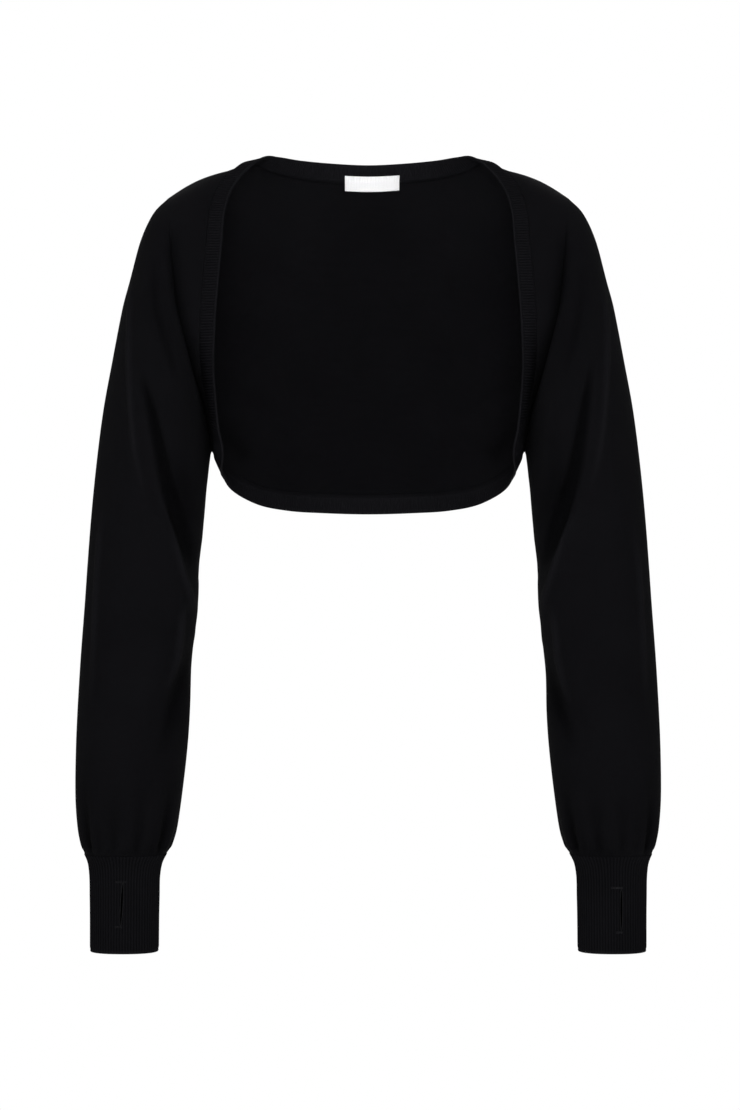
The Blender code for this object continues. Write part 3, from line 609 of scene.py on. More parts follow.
def gridNormals(grid, closed, centres):
    wrapped = wrap(grid) if closed else grid
    across = wrapped[:-1, 1:] - wrapped[1:, :-1]
    along = wrapped[1:, 1:] - wrapped[:-1, :-1]
    faces = np.cross(along, across)
    middles = (wrapped[:-1, 1:] + wrapped[1:, :-1]) / 2
    if np.sum(faces * (middles - centres)) < 0:
        faces = -faces
    normals = np.zeros_like(wrapped)
    for rows in (slice(None, -1), slice(1, None)):
        for columns in (slice(None, -1), slice(1, None)):
            normals[rows, columns] += faces
    if closed:
        normals[:, 0] += normals[:, -1]
        normals = normals[:, :-1]
    return normals


def torsoMiddle(grid):
    return np.array([0.0, cloth["torsoMiddle"], 0.0]) + np.array([0.0, 0.0, 1.0]) * grid[:-1, 1:, 2:]


def tubeMiddle(grid):
    middles = grid.mean(axis=1, keepdims=True)
    return (middles[:-1] + middles[1:]) / 2


def limb(name):
    return name[-4:] if name.startswith("sleeve") else "body"


def borderMask(grid, closed):
    mask = np.zeros(grid.shape[:2], bool)
    mask[[0, -1]] = True
    if not closed:
        mask[:, [0, -1]] = True
    return mask


def waysThrough(grids):
    # each point's own normal and, at the seams, the way through the cloth that the pieces share:
    # where an arm meets the body both walls end on the plane half way between them, as in a mitre
    def key(point):
        return tuple(np.round(point / cloth["samePlace"]).astype(int))

    meeting, own, through = {}, {}, {}
    for name, (grid, closed, centres) in grids.items():
        own[name] = unit(gridNormals(grid, closed, centres))
        border = borderMask(grid, closed)
        for point, normal in zip(grid[border], own[name][border]):
            tubes = meeting.setdefault(key(point), {})
            tubes[limb(name)] = tubes.get(limb(name), 0) + normal
    for name, (grid, closed, _) in grids.items():
        through[name] = own[name].copy()
        for row, column in np.argwhere(borderMask(grid, closed)):
            tubes = meeting[key(grid[row, column])]
            middle = sum(unit(tube) for tube in tubes.values()) / len(tubes)
            length = np.linalg.norm(middle)
            own[name][row, column] = unit(tubes[limb(name)])
            through[name][row, column] = middle / length / max(length, cloth["mitreLimit"])
    return own, through


def valleyAt(which, line):
    heights, depth, half = np.array(armholeValley[which])[::-1].T
    return [np.interp(line[:, 2] / mm, heights, column) * mm for column in (depth, half)]


def drawnIn(grid, line, way, valley):
    # the cloth of each row sinks towards its point on the armhole seam
    depth, half = valley
    away = np.linalg.norm(grid - line[:, None], axis=2) / half[:, None]
    fall = -depth[:, None] * np.exp(-(away ** armholeValley["sharpness"]))
    return grid + way[:, None] * fall[..., None], fall


def borderShift(line, inside, normals, closed):
    after = unit(np.roll(line, -1, axis=0) - line)
    before = np.roll(after, 1, axis=0)
    if not closed:
        after[-1] = before[-1]
        before[0] = after[0]
    run = unit(before + after)
    bend = np.maximum(np.sum(run * after, axis=1, keepdims=True), cloth["mitreLimit"])
    across = unit(np.cross(normals, run))
    inward = np.sign(np.sum(across * (inside - line), axis=1, keepdims=True))
    return across * inward * cloth["seamGap"] / 2 / bend


def pieceBorders(name, grid):
    # rows and columns of each seam, those just inside it, and whether it is an armhole
    rows, columns = np.arange(grid.shape[0]), np.arange(grid.shape[1])
    borders = [(0 * columns + row, columns, 0 * columns + inner, columns, armhole)
               for row, inner, armhole in ((0, 1, name.startswith("sleeve")), (-1, -2, False))]
    down = []
    if name.startswith("front"):
        down = [(rows, 0, 1, True), (rows, -1, -2, False)]
    if name == "back":
        armhole, side = rows[:steps["front"] + 1], rows[steps["front"]:]
        down = [(armhole, 0, 1, True), (side, 0, 1, False), (armhole, -1, -2, True), (side, -1, -2, False)]
    return borders + [(part, 0 * part + column, part, 0 * part + inner, isArmhole)
                      for part, column, inner, isArmhole in down]


def clearSeams(name, grid, own, through, closed):
    shift = np.zeros_like(grid)
    for rows, columns, innerRows, innerColumns, armhole in pieceBorders(name, grid):
        normals = unit(through if armhole else own)[rows, columns]
        line = grid[rows, columns]
        move = borderShift(line, grid[innerRows, innerColumns], normals, closed)
        before = shift[rows, columns]
        agree = np.sum(before * move, axis=1, keepdims=True) / (cloth["seamGap"] / 2) ** 2
        corner = (before + move) / np.maximum(1 + agree, cloth["cornerLimit"])
        shift[rows, columns] = np.where(np.any(before != 0, axis=1, keepdims=True), corner, move)
    return grid + shift


def roundBorders(values, closed):
    # one more line of points close beside each seam, so that its edge turns over tightly
    share = cloth["seamRound"]

    def beside(block):
        first = block[:1] * (1 - share) + block[1:2] * share
        last = block[-1:] * (1 - share) + block[-2:-1] * share
        return np.concatenate([block[:1], first, block[1:-1], last, block[-1:]])

    values = beside(values)
    if not closed:
        values = np.swapaxes(beside(np.swapaxes(values, 0, 1)), 0, 1)
    return values


def surfaceMap(grid, closed, middleColumn, fromTop):
    # where each point lies on the flat cloth, in metres: across from a column, along from an end
    wrapped = wrap(grid) if closed else grid
    across = np.linalg.norm(np.diff(wrapped, axis=1), axis=2)
    u = np.concatenate([np.zeros((len(grid), 1)), np.cumsum(across, axis=1)], axis=1)
    u = u - u[:, middleColumn:middleColumn + 1]
    down = np.linalg.norm(np.diff(wrapped, axis=0), axis=2)
    v = np.concatenate([np.zeros((1, wrapped.shape[1])), np.cumsum(down, axis=0)])
    v = -v if fromTop else v[-1:] - v
    return np.stack([u, v], axis=2)


def makeMesh(name, layers, flat, closed, innerFrom, materials, relief=None):
    # a closed skin: rows run down the outside, round the edge and up the inside, back to the first
    rows, columns = layers.shape[:2]
    r, c = np.meshgrid(np.arange(rows), np.arange(columns if closed else columns - 1), indexing="ij")
    rNext = (r + 1) % rows
    corners = np.stack([r, rNext, rNext, r], axis=-1)
    quads = corners * columns + np.stack([c, c, c + 1, c + 1], axis=-1) % columns
    uv = flat[corners, np.stack([c, c, c + 1, c + 1], axis=-1)]
    slots = (r >= innerFrom).astype(int)
    quads, uv, slots = quads.reshape(-1, 4), uv.reshape(-1, 4, 2), slots.ravel()
    if not closed:
        a = np.arange(rows // 2 - 1)
        for column, order in ((0, 1), (columns - 1, -1)):
            strip = np.stack([a, rows - 1 - a, rows - 2 - a, a + 1], axis=-1)[:, ::order]
            quads = np.concatenate([quads, strip * columns + column])
            uv = np.concatenate([uv, flat[strip, np.full_like(strip, column)]])
            slots = np.concatenate([slots, np.zeros(len(strip), int)])
    mesh = bpy.data.meshes.new(name)
    mesh.from_pydata(layers.reshape(-1, 3).tolist(), [], quads.tolist())
    mesh.uv_layers.new(name="clothMap").data.foreach_set("uv", uv.astype(np.float32).ravel())
    # relief holds the painted highlight and shade that the knit materials read
    if relief is not None:
        values = np.clip(relief / cloth["fullRelief"], -cloth["deepest"], 1.0).astype(np.float32)
        mesh.attributes.new("relief", "FLOAT", "POINT").data.foreach_set("value", values.ravel())
    for material in materials:
        mesh.materials.append(material)
    mesh.polygons.foreach_set("material_index", slots.astype(np.int32))
    piece = bpy.data.objects.new(name, mesh)
    bpy.context.scene.collection.objects.link(piece)
    pointOutwards(mesh)
    mesh.shade_smooth()
    return piece


def readPoints(mesh):
    co = np.zeros(len(mesh.vertices) * 3)
    mesh.vertices.foreach_get("co", co)
    return co.reshape(-1, 3)


def pointOutwards(mesh):
    # turns a closed skin so that it holds a positive volume
    mesh.calc_loop_triangles()
    corners = np.zeros(len(mesh.loop_triangles) * 3, np.int32)
    mesh.loop_triangles.foreach_get("vertices", corners)
    a, b, c = readPoints(mesh)[corners.reshape(-1, 3)].swapaxes(0, 1)
    if np.sum(a * np.cross(b, c)) < 0:
        mesh.flip_normals()


def fromEdge(grid, edge):
    # how thin the wall is for the allowance beneath it, by each point's way from an edge line
    start, length = cloth["skiveReach"]
    away = np.linalg.norm(grid - edge, axis=2)
    return cloth["skived"] * (1 - smoothStep((away - start) / length))


def skive(name, grid):
    if name != "back":
        return np.maximum(fromEdge(grid, grid[:, :1]), fromEdge(grid, grid[:, -1:]))
    thin = fromEdge(grid, grid[-1:])
    neck = slice(steps["shoulder"], grid.shape[1] - steps["shoulder"])
    thin[:, neck] = np.maximum(thin[:, neck], fromEdge(grid[:, neck], grid[:1, neck]))
    armhole = slice(0, steps["front"] + 1)
    for column in (slice(0, 1), slice(-1, None)):
        thin[armhole] = np.maximum(thin[armhole], fromEdge(grid[armhole], grid[armhole, column]))
    return thin


def thereAndBack(front, back):
    return np.concatenate([front, back[::-1]])


def paintedInsideLight(grid):
    # painted light: the inside is painted a little paler under the shoulders, where shade falls
    aside = smoothStep(np.abs(grid[..., 0]) / backSize["paintedLightWidth"])
    return backSize["paintedLight"] * aside * bell(grid[..., 2] / backSize["paintedLightReach"])


def bodyShell(name, grid, own, through, flat, relief):
    # a flat panel of the body: outside, seam edges turned in, and the inside
    outer = clearSeams(name, grid, own, through, False)
    inner = outer - through * (cloth["jerseyWall"] - skive(name, grid))[..., None]
    outer, inner, turned, flat, relief, paintedLight = (
        roundBorders(values, False)
        for values in (outer, inner, own, flat, relief[..., None], paintedInsideLight(grid)[..., None]))
    border = borderMask(outer, False)
    outer[border] -= turned[border] * cloth["seamDrop"]
    # the outside carries the painted highlight and shade, and the inside the painted light under the
    # shoulders less that
    return makeMesh(f"{name}Panel", thereAndBack(outer, inner), thereAndBack(flat, flat), False, len(outer),
                    (jersey, jerseyInside), thereAndBack(relief, paintedLight - relief)), inner


# away from the seam, below the panel's wall, and which face: out on the inside, back on the outside
tuck = ((0.8, 0.4, "inner"), (2.6, 0.32, "inner"), (4.2, 0.22, "inner"), (4.7, 0.14, "outer"),
        (4.2, 0.08, "outer"), (2.6, 0.08, "outer"), (0.8, 0.08, "outer"))


def turnedUnder(walls, nominals, ways):
    # a seam allowance under the next panel: its lines lie off the panel's wall, square to it
    rows = []
    for away, below, face in tuck:
        points = []
        for wall, nominal, way in zip(walls, nominals, ways):
            lengths = chordKnots(nominal)
            place, normal = (pointsAt(away * mm, lengths, line)[0]
                             for line in (wall if face == "outer" else nominal, way))
            points.append(place - unit(normal) * below * mm)
        rows.append(points)
    return np.array(rows)


def allowanceMap():
    # how far along the cloth each row of an allowance lies, with the edge that closes it
    return np.array([away for away, _, _ in tuck] + [0.0]) * mm


# down inside the cuff and in from its outside, from the sleeve's outside round to its inside
cuffTuck = ((0.05, 2.6), (1.0, 3.0), (4.3, 3.5), (4.7, 3.9), (4.3, 4.3), (0.5, 4.0))


def sleeveShell(name, grid, own, through, flat, relief, underBody):
    # a sleeve, with its allowances turned under the body at the armhole and inside the cuff
    ends, every = sleeveSize["insideRings"]
    outer = clearSeams(name, grid, own, through, True)
    extra = np.zeros(len(outer))
    for step, thick in enumerate(sleeveSize["allowance"]):
        extra[[step, -1 - step]] = thick
    extra[-1] += sleeveSize["thickAtCuff"]
    inner = outer - through * (cloth["jerseyWall"] + extra)[:, None, None]
    last = outer[-1]
    level = unit(own[-1] * [1, 1, 0])
    cuffFlap = np.array([last - level * deep * mm - np.array([0, 0, down * mm]) for down, deep in cuffTuck])
    edgeUnder = outer[0] - through[0] * (cloth["jerseyWall"] - cloth["skived"] + sleeveSize["underEdge"])
    outer, turned, flatOuter, reliefOuter = (
        roundBorders(values, True) for values in (outer, own, flat, relief[..., None]))
    outer[0] -= turned[0] * cloth["seamDrop"]
    rings = np.arange(len(inner))
    kept = (rings < ends) | (rings >= len(inner) - ends) | ((rings - ends) % every == 0)
    layers = [outer, cuffFlap, inner[kept][::-1], underBody, edgeUnder[None]]
    underMap = flat[:1] + allowanceMap()[:, None, None] * [0, 1]
    flats = [flatOuter, np.repeat(flat[-1:], len(cuffFlap), axis=0), flat[kept][::-1], underMap]
    reliefs = [reliefOuter, np.zeros((len(cuffFlap), sleeveSides, 1)), relief[kept][::-1, :, None],
               np.zeros((len(underBody) + 1, sleeveSides, 1))]
    return makeMesh(name, np.concatenate(layers), np.concatenate(flats), True, len(outer),
                    (jersey, jerseyInside), np.concatenate(reliefs))


yarn = {
    # deep is the painted shadow colour at the bottom of the deepest creases
    "deep": (0.0003, 0.0003, 0.0004),
    "colour": (0.0014, 0.0014, 0.0017),
    "light": (0.0065, 0.0064, 0.0076),
    "edge": (0.0066, 0.0065, 0.0074),
    "tack": (0.0100, 0.0098, 0.0112),
    "roughness": 0.62,
    "fuzzRoughness": 0.12,
    "specular": 0.012,
    "sheen": 0.003,
    "sheenRoughness": 0.35,
    "wale": 1.45 * mm,
    "course": 1.05 * mm,
    "bump": 0.32 * mm,
    "ribBump": 0.22 * mm,
    "bumpStrength": 0.8,
    "legSlant": 1.5,
    "legDip": 0.35,
    "purlShift": 0.35,
    "shadePower": 0.7,
    "uneven": 22,
    "fuzz": 1400,
    "fuzzHeight": 0.25,
    "stitchShade": 0.7,
    "unevenShade": 0.3,
    "reliefShade": 0.46,
    "deepShade": 1.8,
    "insideBrightness": 0.86,
    "bandBrightness": 1.13,
    "cuffBrightness": 1.02,
}
threadLook = {
    "roughness": 0.5,
    "specular": 0.06,
    "twist": 600,
    "bump": 0.1 * mm,
    "bumpStrength": 0.6,
}


def setSockets(tree, node, sockets):
    # each socket takes a number, a colour or the output of another node
    for label, value in sockets.items():
        if isinstance(value, bpy.types.NodeSocket):
            tree.links.new(value, node.inputs[label])
        else:
            node.inputs[label].default_value = value


def addNode(tree, kind, sockets=None, **settings):
    node = tree.nodes.new(f"ShaderNode{kind}")
    for label, value in settings.items():
        setattr(node, label, value)
    setSockets(tree, node, sockets or {})
    return node.outputs


def calc(tree, operation, *values):
    return addNode(tree, "Math", dict(enumerate(values)), operation=operation)[0]


def scaled(tree, value, factor, plus):
    return calc(tree, "ADD", calc(tree, "MULTIPLY", value, factor), plus)


def withShare(tree, base, value, share):
    return calc(tree, "ADD", base, calc(tree, "MULTIPLY", value, share))


def waveOf(tree, shape, value, period=1.0):
    return calc(tree, shape, calc(tree, "MULTIPLY", value, 2 * math.pi / period))


def clothPlace(tree):
    # where a point lies on the flat cloth
    return addNode(tree, "SeparateXYZ", {0: addNode(tree, "UVMap", uv_map="clothMap")["UV"]})


def bumpNormal(tree, height, strength, distance):
    return addNode(tree, "Bump", {"Strength": strength, "Distance": distance, "Height": height})["Normal"]


def newGroup(name, inputs, outputs):
    tree = bpy.data.node_groups.new(name, "ShaderNodeTree")
    for label, value in inputs.items():
        socket = tree.interface.new_socket(name=label, in_out="INPUT", socket_type="NodeSocketFloat")
        socket.default_value = value
    for label in outputs:
        tree.interface.new_socket(name=label, in_out="OUTPUT", socket_type="NodeSocketFloat")
    return tree, tree.nodes.new("NodeGroupInput").outputs, tree.nodes.new("NodeGroupOutput")


def makeKnitGroup():
    # rows of V stitches on the flat cloth's own map; Purl turns them to the bumps of the inside
    sizes = {"Wale": yarn["wale"], "Course": yarn["course"], "Purl": 0}
    tree, given, result = newGroup("knitStitches", sizes, ("Height", "Shade"))
    place = clothPlace(tree)
    across = calc(tree, "DIVIDE", place["X"], given["Wale"])
    along = calc(tree, "DIVIDE", place["Y"], given["Course"])
    fromMiddle = calc(tree, "ABSOLUTE", calc(tree, "SUBTRACT", calc(tree, "FRACT", across), 0.5))
    leg = waveOf(tree, "SINE", fromMiddle)
    slant = withShare(tree, along, fromMiddle, yarn["legSlant"])
    stitch = scaled(tree, waveOf(tree, "COSINE", slant), yarn["legDip"], 1 - yarn["legDip"])
    shifted = withShare(tree, along, leg, yarn["purlShift"])
    purl = scaled(tree, waveOf(tree, "COSINE", shifted), 0.5, 0.5)
    face = calc(tree, "MULTIPLY", leg, stitch)
    height = addNode(tree, "Mix", {"Factor": given["Purl"], "A": face, "B": purl})["Result"]
    shade = calc(tree, "POWER", calc(tree, "MAXIMUM", height, 0), yarn["shadePower"])
    setSockets(tree, result, {"Height": height, "Shade": shade})
    return tree


def makeClothGroup():
    # slow, faint unevenness of the dye and the knitting, and the fuzz of the yarn
    tree, given, result = newGroup("yarnUnevenness", {"Scale": yarn["uneven"]}, ("Shade", "Fuzz"))
    place = addNode(tree, "TexCoord")["Object"]
    slow = addNode(tree, "TexNoise", {"Vector": place, "Scale": given["Scale"], "Detail": 3.0})["Fac"]
    fine = addNode(tree, "TexNoise", {"Vector": place, "Scale": yarn["fuzz"], "Detail": 2.0})["Fac"]
    setSockets(tree, result, {"Shade": slow, "Fuzz": fine})
    return tree


knitGroup = makeKnitGroup()
clothGroup = makeClothGroup()


def newMaterial(name):
    material = bpy.data.materials.new(name)
    material.use_nodes = True
    return material, material.node_tree, material.node_tree.nodes["Principled BSDF"]


def mixedColour(tree, factor, low, high):
    return addNode(tree, "Mix", {"Factor": factor, "A": low, "B": high}, data_type="RGBA",
                   clamp_factor=True)["Result"]


def knitMaterial(name, wale, purl, depth, brightness=1.0):
    material, tree, shader = newMaterial(name)
    sizes = {"Wale": wale, "Course": yarn["course"], "Purl": purl}
    stitches = addNode(tree, "Group", sizes, node_tree=knitGroup)
    uneven = addNode(tree, "Group", {"Scale": yarn["uneven"]}, node_tree=clothGroup)
    shade = calc(tree, "MULTIPLY", stitches["Shade"], yarn["stitchShade"])
    shade = withShare(tree, shade, uneven["Shade"], yarn["unevenShade"])
    # painted highlight and shade: raised folds are painted paler, and the depth of a crease is painted
    # darker
    relief = addNode(tree, "Attribute", attribute_name="relief")["Fac"]
    shade = withShare(tree, shade, relief, yarn["reliefShade"])
    dark, light = ((*(brightness * value for value in yarn[tone]), 1) for tone in ("colour", "light"))
    # painted shadow: deeper creases mix down towards the near-black deep colour
    creaseShadowShare = scaled(tree, shade, yarn["deepShade"], 1.0)
    colour = mixedColour(tree, creaseShadowShare, (*yarn["deep"], 1), mixedColour(tree, shade, dark, light))
    height = withShare(tree, stitches["Height"], uneven["Fuzz"], yarn["fuzzHeight"])
    setSockets(tree, shader, {
        "Base Color": colour,
        "Roughness": scaled(tree, uneven["Fuzz"], yarn["fuzzRoughness"], yarn["roughness"]),
        "Specular IOR Level": yarn["specular"],
        "Sheen Weight": yarn["sheen"],
        "Sheen Roughness": yarn["sheenRoughness"],
        "Sheen Tint": (1, 1, 1, 1),
        "Normal": bumpNormal(tree, height, yarn["bumpStrength"], depth),
    })
    return material


def threadMaterial(name, colour):
    material, tree, shader = newMaterial(name)
    place = addNode(tree, "TexCoord")["Object"]
    twist = addNode(tree, "TexWave", {"Vector": place, "Scale": threadLook["twist"]})["Fac"]
    setSockets(tree, shader, {
        "Base Color": (*colour, 1),
        "Roughness": threadLook["roughness"],
        "Specular IOR Level": threadLook["specular"],
        "Normal": bumpNormal(tree, twist, threadLook["bumpStrength"], threadLook["bump"]),
    })
    return material


jersey = knitMaterial("blackJersey", yarn["wale"], 0, yarn["bump"])
jerseyInside = knitMaterial("blackJerseyInside", yarn["wale"], 1, yarn["bump"], yarn["insideBrightness"])
rib = knitMaterial("blackRib", bandSize["ribPitch"] / 2, 0, yarn["ribBump"], yarn["bandBrightness"])
cuffRib = knitMaterial("blackCuffRib", bandSize["ribPitch"] / 2, 0, yarn["ribBump"], yarn["cuffBrightness"])
print("materials made")

(neckEdge, neckSeam), (frontEdge, frontSeam), (hemEdge, hemSeam) = bandStations()
armholeF = curveThrough(armholeFront, steps["front"])
armholeB = curveThrough(armholeBack, steps["front"])
armholeLoop = np.concatenate([armholeF[:-1], armholeB[:0:-1]])
ridge = shoulderSeam(neckSeam[-1], armholeF[0])
edge = joinEnds(neckEdge, frontEdge, hemEdge)
seam = joinEnds(neckSeam, frontSeam, hemSeam)


def aroundMiddle(line):
    # the wearer's left half, then the right one back to the start
    return np.concatenate([line, line[-2:0:-1] * mirror])


bandForm = np.array([aroundMiddle(seam), aroundMiddle(edge)])
backForm, backFoldRelief = backPanel(neckSeam, hemSeam, armholeB, ridge)
frontForm = frontPanel(frontSeam, armholeF, ridge)
sleeves = {side: sleeveForm(armholeLoop, sleeveCreases["both"] + sleeveCreases[side]) for side in signOf}


def piecesOfCloth():
    # each piece's points, whether it is a tube, and the middle line that its outside faces away from
    left, right = sleeves["left"][0], sleeves["right"][0] * mirror
    return {
        "back": (backForm, False, torsoMiddle(backForm)),
        "frontLeft": (frontForm, False, torsoMiddle(frontForm)),
        "frontRight": (frontForm * mirror, False, torsoMiddle(frontForm)),
        "sleeveLeft": (left, True, tubeMiddle(left)),
        "sleeveRight": (right, True, tubeMiddle(right)),
        "band": (bandForm, True, torsoMiddle(wrap(bandForm))),
    }


# the armhole seams are drawn in below the cloth on both sides of them, and how far the cloth sinks is
# painted on it as shade
way = unit(waysThrough(piecesOfCloth())[1]["sleeveLeft"][0])
frontRows = np.arange(steps["front"] + 1)
backRows = -frontRows % sleeveSides
frontValley, backValley = valleyAt("front", armholeF), valleyAt("back", armholeB)
loopDepth, loopHalf = (np.concatenate([a[:-1], b[:0:-1]]) for a, b in zip(frontValley, backValley))
frontForm, frontRelief = drawnIn(frontForm, armholeF, way[frontRows], frontValley)
toBottom = np.minimum(np.arange(len(backForm)), steps["front"])
backHalf, backFall = drawnIn(backForm[:, :hemSteps + 1], armholeB[toBottom], way[backRows][toBottom],
                             [values[toBottom] for values in backValley])
backForm = np.array([mirroredRow(row) for row in backHalf])
backRelief = backFall + backFoldRelief
backRelief = np.concatenate([backRelief, backRelief[:, -2::-1]], axis=1)
for side, (form, relief) in sleeves.items():
    sunk, fall = drawnIn(np.swapaxes(form, 0, 1), armholeLoop, way,
                         (loopDepth, loopHalf * armholeValley["sleeveShare"]))
    sleeves[side] = np.swapaxes(sunk, 0, 1), relief + fall.T
# and the band's seam goes down with the edge of the front, and that sinking is painted as shade on the band
besideFront = slice(len(neckSeam) - 1, len(neckSeam) - 1 + len(frontForm))
seam[besideFront] = frontForm[:, -1]
seamFall = np.zeros(len(seam))
seamFall[besideFront] = frontRelief[:, -1]
bandForm[0] = aroundMiddle(seam)
bandFall = np.concatenate([seamFall, seamFall[-2:0:-1]])
grids = piecesOfCloth()
own, through = waysThrough(grids)
print("forms worked out")


def standsFor(piece, solid):
    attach(piece, "root")
    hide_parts(solid)


linings = {}
for name, solid, relief, size, above in (
    ("back", "back", backRelief, backSize, ["openingBand"]),
    ("frontLeft", "front_left", frontRelief, frontSize, ["backPanel"]),
    ("frontRight", "front_right", frontRelief, frontSize, ["backPanel"]),
):
    grid = grids[name][0]
    flat = surfaceMap(grid, False, grid.shape[1] // 2, name.startswith("front"))
    panel, linings[name] = bodyShell(name, grid, own[name], through[name], flat, relief)
    standsFor(panel, solid)
    print("panel made:", name, len(panel.data.polygons), "faces")


def innerWall(name):
    grid = grids[name][0]
    wall = (cloth["jerseyWall"] - skive(name, grid))[..., None]
    return (grid - through[name] * wall, grid - through[name] * cloth["jerseyWall"],
            unit(gridNormals(*grids[name])))


backWall = innerWall("back")
frontWall = innerWall("frontLeft")
besideArmhole = [
    [front[row] for row in frontRows[:-1]] + [back[row, :hemSteps + 1] for row in frontRows[:0:-1]]
    for front, back in zip(frontWall, backWall)
]
underBody = turnedUnder(*besideArmhole)

for side, (_, relief) in sleeves.items():
    name = f"sleeve{side.title()}"
    flat = surfaceMap(grids[name][0], True, 0, False)
    turn = mirror if side == "right" else 1
    sleeve = sleeveShell(name, grids[name][0], own[name], through[name], flat, relief, underBody * turn)
    standsFor(sleeve, f"sleeve_{side}")
    print("sleeve made:", name, len(sleeve.data.polygons), "faces")

# along from the seam to the free edge, out of the seam's line, share of the ribs' height
bandProfile = (
    (0.03, -0.22, 0),
    (0.45, 0.14, 0.3),
    (1.3, 0.36, 1),
    (4, 0.46, 1),
    (7.5, 0.5, 1),
    (10.6, 0.42, 1),
    (11.8, 0.24, 0.7),
    (12.35, 0.12, 0.25),
    (12.8, 0.5, 0.1),
    (13.4, 0.8, 0.05),
    (14.05, 0.55, 0),
    (14.3, -0.3, 0),
    (14.1, -1.25, 0),
    (13.4, -1.75, -0.1),
    (12.4, -1.9, -0.5),
    (9.6, -1.95, -1),
    (5.8, -1.95, -1),
    (2.8, -1.97, -0.6),
    (0.6, -2.06, -0.1),
)
rimRows = (8, 12)


def underPanels():
    # the band's seam allowance lies inside the back at the neck and hem, and inside the fronts
    beside = [[back[:, hemSteps - k] for k in range(steps["neck"])]
              + [front[k, ::-1] for k in range(steps["front"])]
              + [back[::-1, k] for k in range(hemSteps + 1)] for front, back in zip(frontWall, backWall)]
    return [aroundMiddle(row) for row in turnedUnder(*beside)]


def ribWave(phase):
    return (0.5 - 0.5 * np.cos(phase)) ** bandSize["ribRound"]


def ribbedBand():
    lengths = chordKnots(wrap(bandForm).mean(axis=0))
    ribs = int(round(lengths[-1] / bandSize["ribPitch"]))
    at = np.linspace(0.0, lengths[-1], ribs * bandSize["pointsPerRib"] + 1)

    def resample(line):
        return pointsAt(at, lengths, np.concatenate([line, line[:1]]))

    seamLine, edgeLine = resample(bandForm[0]), resample(bandForm[1])
    seamNormal, edgeNormal = (unit(resample(line)) for line in own["band"])
    wave = ribWave(2 * np.pi * at / lengths[-1] * ribs)
    run = unit(edgeLine - seamLine)
    layers = []
    for along, out, ribShare in bandProfile:
        share = along * mm / bandSize["width"]
        normal = unit(seamNormal * (1 - share) + edgeNormal * share)
        lift = out * mm + ribShare * bandSize["ribHeight"] * (wave - 1 if ribShare > 0 else 1 - wave)
        layers.append(seamLine + run * along * mm + normal * lift[:, None])
    layers += [resample(row) for row in underPanels()]
    edgeWall = cloth["jerseyWall"] - cloth["skived"]
    layers = np.array(layers + [seamLine + run * bandProfile[0][0] * mm - seamNormal * edgeWall])
    profile = np.array(bandProfile)[:, :2] * mm
    down = chordKnots(profile)
    down = np.append(down, down[-1] + allowanceMap())
    flat = np.stack(np.meshgrid(at / lengths[-1] * ribs * bandSize["ribPitch"], down, indexing="xy"), axis=2)
    # painted highlight and shade: the ribs outside paler on their crowns and darker in the grooves and
    # beside the armhole crease, a painted highlight on the rim, and inside it painted light beside the neck,
    # less towards the sides
    rim, inside = rimRows
    fall = np.interp(at, lengths, np.append(bandFall, bandFall[0]))
    nearSeam = np.clip(1 - profile[:rim, :1] / bandSize["fallAcross"], 0.0, 1.0)
    relief = np.zeros(layers.shape[:2])
    relief[:rim] = (wave - bandSize["grooveShade"]) * cloth["fullRelief"]
    relief[:rim] += bandSize["fallShade"] * fall * nearSeam
    relief[rim:inside] = bandSize["rimHighlight"] * cloth["fullRelief"] + bandSize["rimFall"] * fall
    fade = bell(layers[0, :, 0] / bandSize["fadeAcross"])
    rows = np.linspace(bandSize["insideFrom"], bandSize["insideTo"], len(profile) - inside)
    rows = np.append(rows, [bandSize["insideTuck"]] * 2)[:, None]
    relief[inside:inside + len(rows)] = rows * fade * bandSize["insideShade"] * cloth["fullRelief"]
    return layers, flat, ribs, relief


layersOfBand, flat, ribs, relief = ribbedBand()
band = makeMesh("openingBand", layersOfBand[:, :-1], flat, True, len(bandProfile), (rib, jerseyInside),
                relief[:, :-1])
standsFor(band, "opening_band")
print("band made:", ribs, "ribs,", len(band.data.polygons), "faces")

cuffSize = {
    "ribs": 68,
    "pointsPerRib": 7,
    "ribHeight": 0.6 * mm,
    # the groove and edge shares paint shade in the rib grooves and a highlight along the free edge
    "grooveShade": 0.68,
    "edgeFrom": 0.97,
    "edgeHighlight": 0.55,
    "meetsSleeve": 0.05,
    "fullness": 2.25,
    "flat": (0.178, 0.092),
}
cuffSections = (
    (252.1, 180.1, -625.2, -56.3, 6),
    (250.2, 182.3, -629.2, -53.7, 0.9),
    (248.5, 184.4, -634.4, -51.6, -3.5),
    (247.7, 185.6, -641, -50.8, -4.6),
    (247.1, 186.5, -664, -50.5, -5),
    (246.9, 187.2, -711.6, -50.5, -5),
)
# down from the seam to the free edge and back up inside: share of the length, out, rib share
cuffProfile = (
    [(0.0005, -0.05, 0), (0.004, 0, 0.5), (0.012, 0.1, 0.9)]
    + [(0.03 + 0.92 * k / 22, 0.2, 1) for k in range(23)]
    + [(0.965, 0.15, 0.8), (0.975, 0.05, 0.4), (0.983, 0.25, 0.3), (0.992, 0.3, 0.3), (0.998, 0.05, 0.2),
       (1, -0.6, 0.1), (0.998, -1.3, 0), (0.99, -1.75, -0.2), (0.96, -1.85, -0.8)]
    + [(0.92 - 0.88 * k / 10, -1.85, -1) for k in range(11)]
    + [(0.012, -1.85, -0.5), (0.0005, -1.8, 0)]
)


